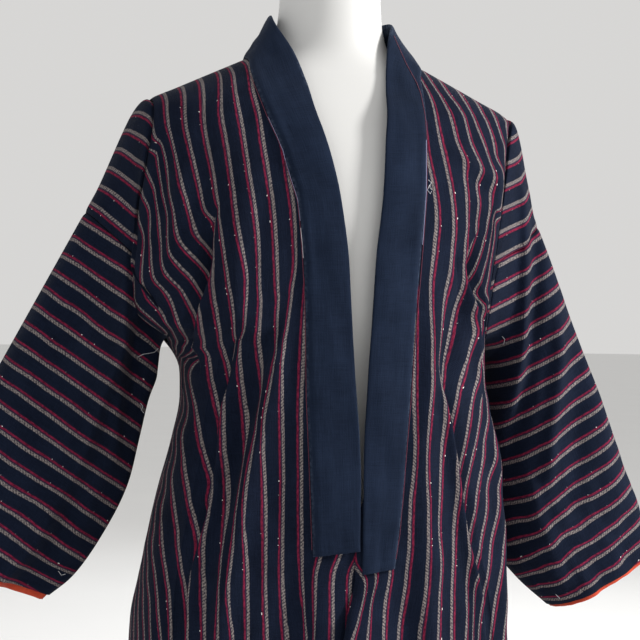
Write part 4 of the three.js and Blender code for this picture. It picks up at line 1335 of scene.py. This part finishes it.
def build_form():
    heights = np.concatenate([
        np.linspace(340, 356, 9), np.linspace(362, 850, 80), np.linspace(853, 955, 60),
        np.linspace(960, 1030, 14), np.linspace(1033, 1040, 8),
    ])
    turns = ring_turns(120)
    half, front, back = (table_curve(form_rings, 0, k)(heights)[:, None] for k in (1, 2, 3))
    power = ring_power - 0.3 * smooth_step((heights - 905) / 40)[:, None]
    side = np.cos(turns)[None]
    facing = np.sin(turns)[None]
    depth = np.where(facing < 0, front, back)
    x = np.sign(side) * half * np.abs(side) ** (2 / power)
    y = ring_centre_y + np.sign(facing) * depth * np.abs(facing) ** (2 / power)
    points = np.stack([x, y, np.broadcast_to(heights[:, None], x.shape)], axis=2)
    piece = grid_object("dress_form_detail", points, plastic, wrap=True, caps=True)
    declare(piece, "dress_form")


def lathe(name, profile, node):
    turns = ring_turns(128)
    radius, height = np.array(profile).T[..., None]
    x = radius * np.cos(turns)
    y = radius * np.sin(turns)
    points = np.stack([x, y, np.broadcast_to(height, x.shape)], axis=2)
    piece = grid_object(name, points, steel, wrap=True, caps=True)
    soft = piece.modifiers.new("edges", "BEVEL")
    soft.width = 0.8 * mm
    soft.segments = 3
    soft.angle_limit = math.radians(40)
    declare(piece, node)


# Stand as radius and height
pole_profile = [
    (36, 12.3), (36, 16.5), (34.5, 18), (16, 18.6), (13, 20.5), (12, 24), (12, 324), (13, 328), (16, 331.4),
    (34.5, 334), (36, 335.5), (36, 339.7),
]
base_profile = [(149, 0), (150, 1), (150, 8), (149.4, 10), (148, 11.4), (146, 12), (80, 12), (2, 12)]


cloth_pieces = {}
for side_name in side_sign:
    cloth_pieces[f"body_{side_name}"] = build_panel(side_name)
    cloth_pieces[f"upper_{side_name}"], cloth_pieces[f"lower_{side_name}"] = build_sleeve(side_name)
    cloth_pieces[f"cuff_{side_name}"] = build_cuff(side_name)
collar = build_collar()
build_form()
lathe("form_pole_detail", pole_profile, "form_pole")
lathe("form_base_detail", base_profile, "form_base")


# Cut of each sheet in metres: width, length, flat area where the cut is no rectangle, how held, on what
sheet_cuts = {
    "body": (0.245, 1.66, 0.395, "draped", ("dress_form_detail",)),
    "upper": (0.125, 0.460, 0.026, "hung", ("body_{}_cloth",)),
    "lower": (0.350, 0.460, 0.120, "hung", ("sleeve_{}_upper_cloth",)),
    "cuff": (0.345, 0.066, None, "hung", ("sleeve_{}_lower_cloth",)),
}


def declare_sheets():
    for name, piece in cloth_pieces.items():
        kind, side = name.split("_")
        width, length, area, held, carriers = sheet_cuts[kind]
        carriers = [carrier.format(side) for carrier in carriers]


declare_sheets()


# Sewing threads and stray ends, laid on the cloth where the photograph shows them
def cloth_seen(px, py, trees):
    """Place and outward direction of the nearest cloth behind a pixel."""
    across, up = ray_slopes(px, py)
    ray = Vector(camera_forward + camera_right * across + np.array([0, 0, up])).normalized()
    start = Vector(camera_place * mm)
    hits = [tree.ray_cast(start, ray) for tree in trees]
    hits = [hit for hit in hits if hit[0] is not None]
    if not hits:
        return None
    place, normal = min(hits, key=lambda hit: hit[3])[:2]
    return place, normal if normal.dot(ray) < 0 else -normal


def build_thread(name, pixels, trees, radius, material, out=0.0):
    """Thin tube along a line of pixels, laid on the cloth or a little out from it."""
    places = []
    px_per_step = 4
    for (x0, y0), (x1, y1) in zip(pixels[:-1], pixels[1:]):
        count = max(1, round(math.hypot(x1 - x0, y1 - y0) / px_per_step))
        for k in range(count):
            seen = cloth_seen(x0 + (x1 - x0) * k / count, y0 + (y1 - y0) * k / count, trees)
            if seen:
                places.append(seen[0] + seen[1] * (radius + out) * mm)
    data = bpy.data.curves.new(name, "CURVE")
    data.dimensions = "3D"
    data.bevel_depth = radius * mm
    data.bevel_resolution = 2
    data.use_fill_caps = True
    spline = data.splines.new("POLY")
    spline.points.add(len(places) - 1)
    for point, place in zip(spline.points, places):
        point.co = (*place, 1)
    data.materials.append(material)
    piece = add_object(name, data)
    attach(piece, "root")


# Pixels of the neckband's seams and of the stray ends
seam_px = {
    "right": [
        (250.5, 76), (257.3, 92), (267.3, 117), (275.3, 134), (282.3, 150), (286.3, 166), (290.3, 179),
        (297.3, 200), (300, 225), (302.3, 255), (304.5, 300), (305.3, 330), (306.3, 400), (309.3, 470),
        (312.2, 554),
    ],
    "left": [
        (393.7, 36), (406.7, 65), (416.7, 83), (420.8, 94), (424.8, 115), (426.8, 140), (426.8, 194),
        (424.8, 224), (422.8, 249), (419.8, 286), (416.8, 320), (413.8, 361), (410.8, 402), (405.8, 463),
        (399.8, 534), (395, 563),
    ],
}
loose_ends = {
    "loose_knot": [
    (428, 180), (431, 183), (428.6, 187), (431.6, 190), (429.4, 185), (427, 190), (430, 194), (432.5, 188),
],
    "loose_end_armpit": [(138, 357), (143, 354), (149, 353), (154, 352), (158, 348), (157, 345)],
    "loose_end_sleeve": [(140, 403), (142.5, 406), (141, 410), (143.5, 413), (141.5, 416)],
    "loose_end_cuff_right": [(58, 571), (61, 575), (65, 574), (68, 577)],
    "loose_end_cuff_left": [(556, 594), (560, 598), (562, 603)],
    "loose_end_seam_left": [(502, 336), (505, 339), (504, 344), (507, 347)],
}


def build_threads():
    graph = bpy.context.evaluated_depsgraph_get()
    tree = {name: BVHTree.FromObject(piece, graph) for name, piece in cloth_pieces.items()}
    tree["collar"] = BVHTree.FromObject(collar, graph)
    chest = [tree["body_right"], tree["body_left"], tree["collar"]]
    violet_right = [(x + 0.7, y) for x, y in seam_px["right"][2:9]]
    white_right = [(300.6, 228), (302.6, 246), (303.4, 262)]
    violet_left = [(x - 0.8, y) for x, y in seam_px["left"][5:9]]
    build_thread("seam_line_right", seam_px["right"], chest, 0.30, crimson_thread)
    build_thread("seam_line_left", seam_px["left"], chest, 0.30, crimson_thread)
    build_thread("seam_thread_right", violet_right, chest, 0.22, violet_thread)
    build_thread("seam_thread_right_low", white_right, chest, 0.30, white_thread)
    build_thread("seam_thread_left", violet_left, chest, 0.28, violet_thread)
    for name, pixels in loose_ends.items():
        build_thread(name, pixels, list(tree.values()), 0.22, white_thread, out=0.5)


build_threads()


# Floor, lights and surroundings
def build_floor():
    n = Nodes("pale_floor")
    colour = n.mixed(n.noise(n.place(), 3, 3), *colours["floor"])
    material = n.finish(colour, 0.85, specular=0.2)
    mesh = bpy.data.meshes.new("floor")
    size = 30
    corners = [(-size, -size, 0), (size, -size, 0), (size, size, 0), (-size, size, 0)]
    mesh.from_pydata(corners, [], [(0, 1, 2, 3)])
    mesh.materials.append(material)
    add_object("floor", mesh)


def area_light(name, place, target, size, power, colour):
    data = bpy.data.lights.new(name, "AREA")
    data.shape = "DISK"
    data.size = size
    data.energy = power
    data.color = colour
    light = add_object(name, data)
    light.location = place
    light.rotation_mode = "QUATERNION"
    light.rotation_quaternion = (Vector(target) - Vector(place)).to_track_quat("-Z", "Y")


def build_lights():
    world = bpy.data.worlds.new("world")
    world.use_nodes = True
    background = world.node_tree.nodes["Background"]
    background.inputs["Color"].default_value = (1.0, 0.99, 0.975, 1)
    background.inputs["Strength"].default_value = 0.68
    bpy.context.scene.world = world
    area_light("key", (2.35, -1.05, 1.75), (0, 0, 0.68), 0.6, 96, (1.0, 0.985, 0.96))
    area_light("fill", (-1.6, -1.6, 1.1), (0, 0, 0.65), 1.8, 3, (0.92, 0.96, 1.0))
    area_light("rear", (0.8, 1.9, 1.8), (0, 0, 0.65), 1.6, 22, (0.97, 0.98, 1.0))


build_floor()
build_lights()
bpy.context.scene.view_settings.view_transform = "Standard"
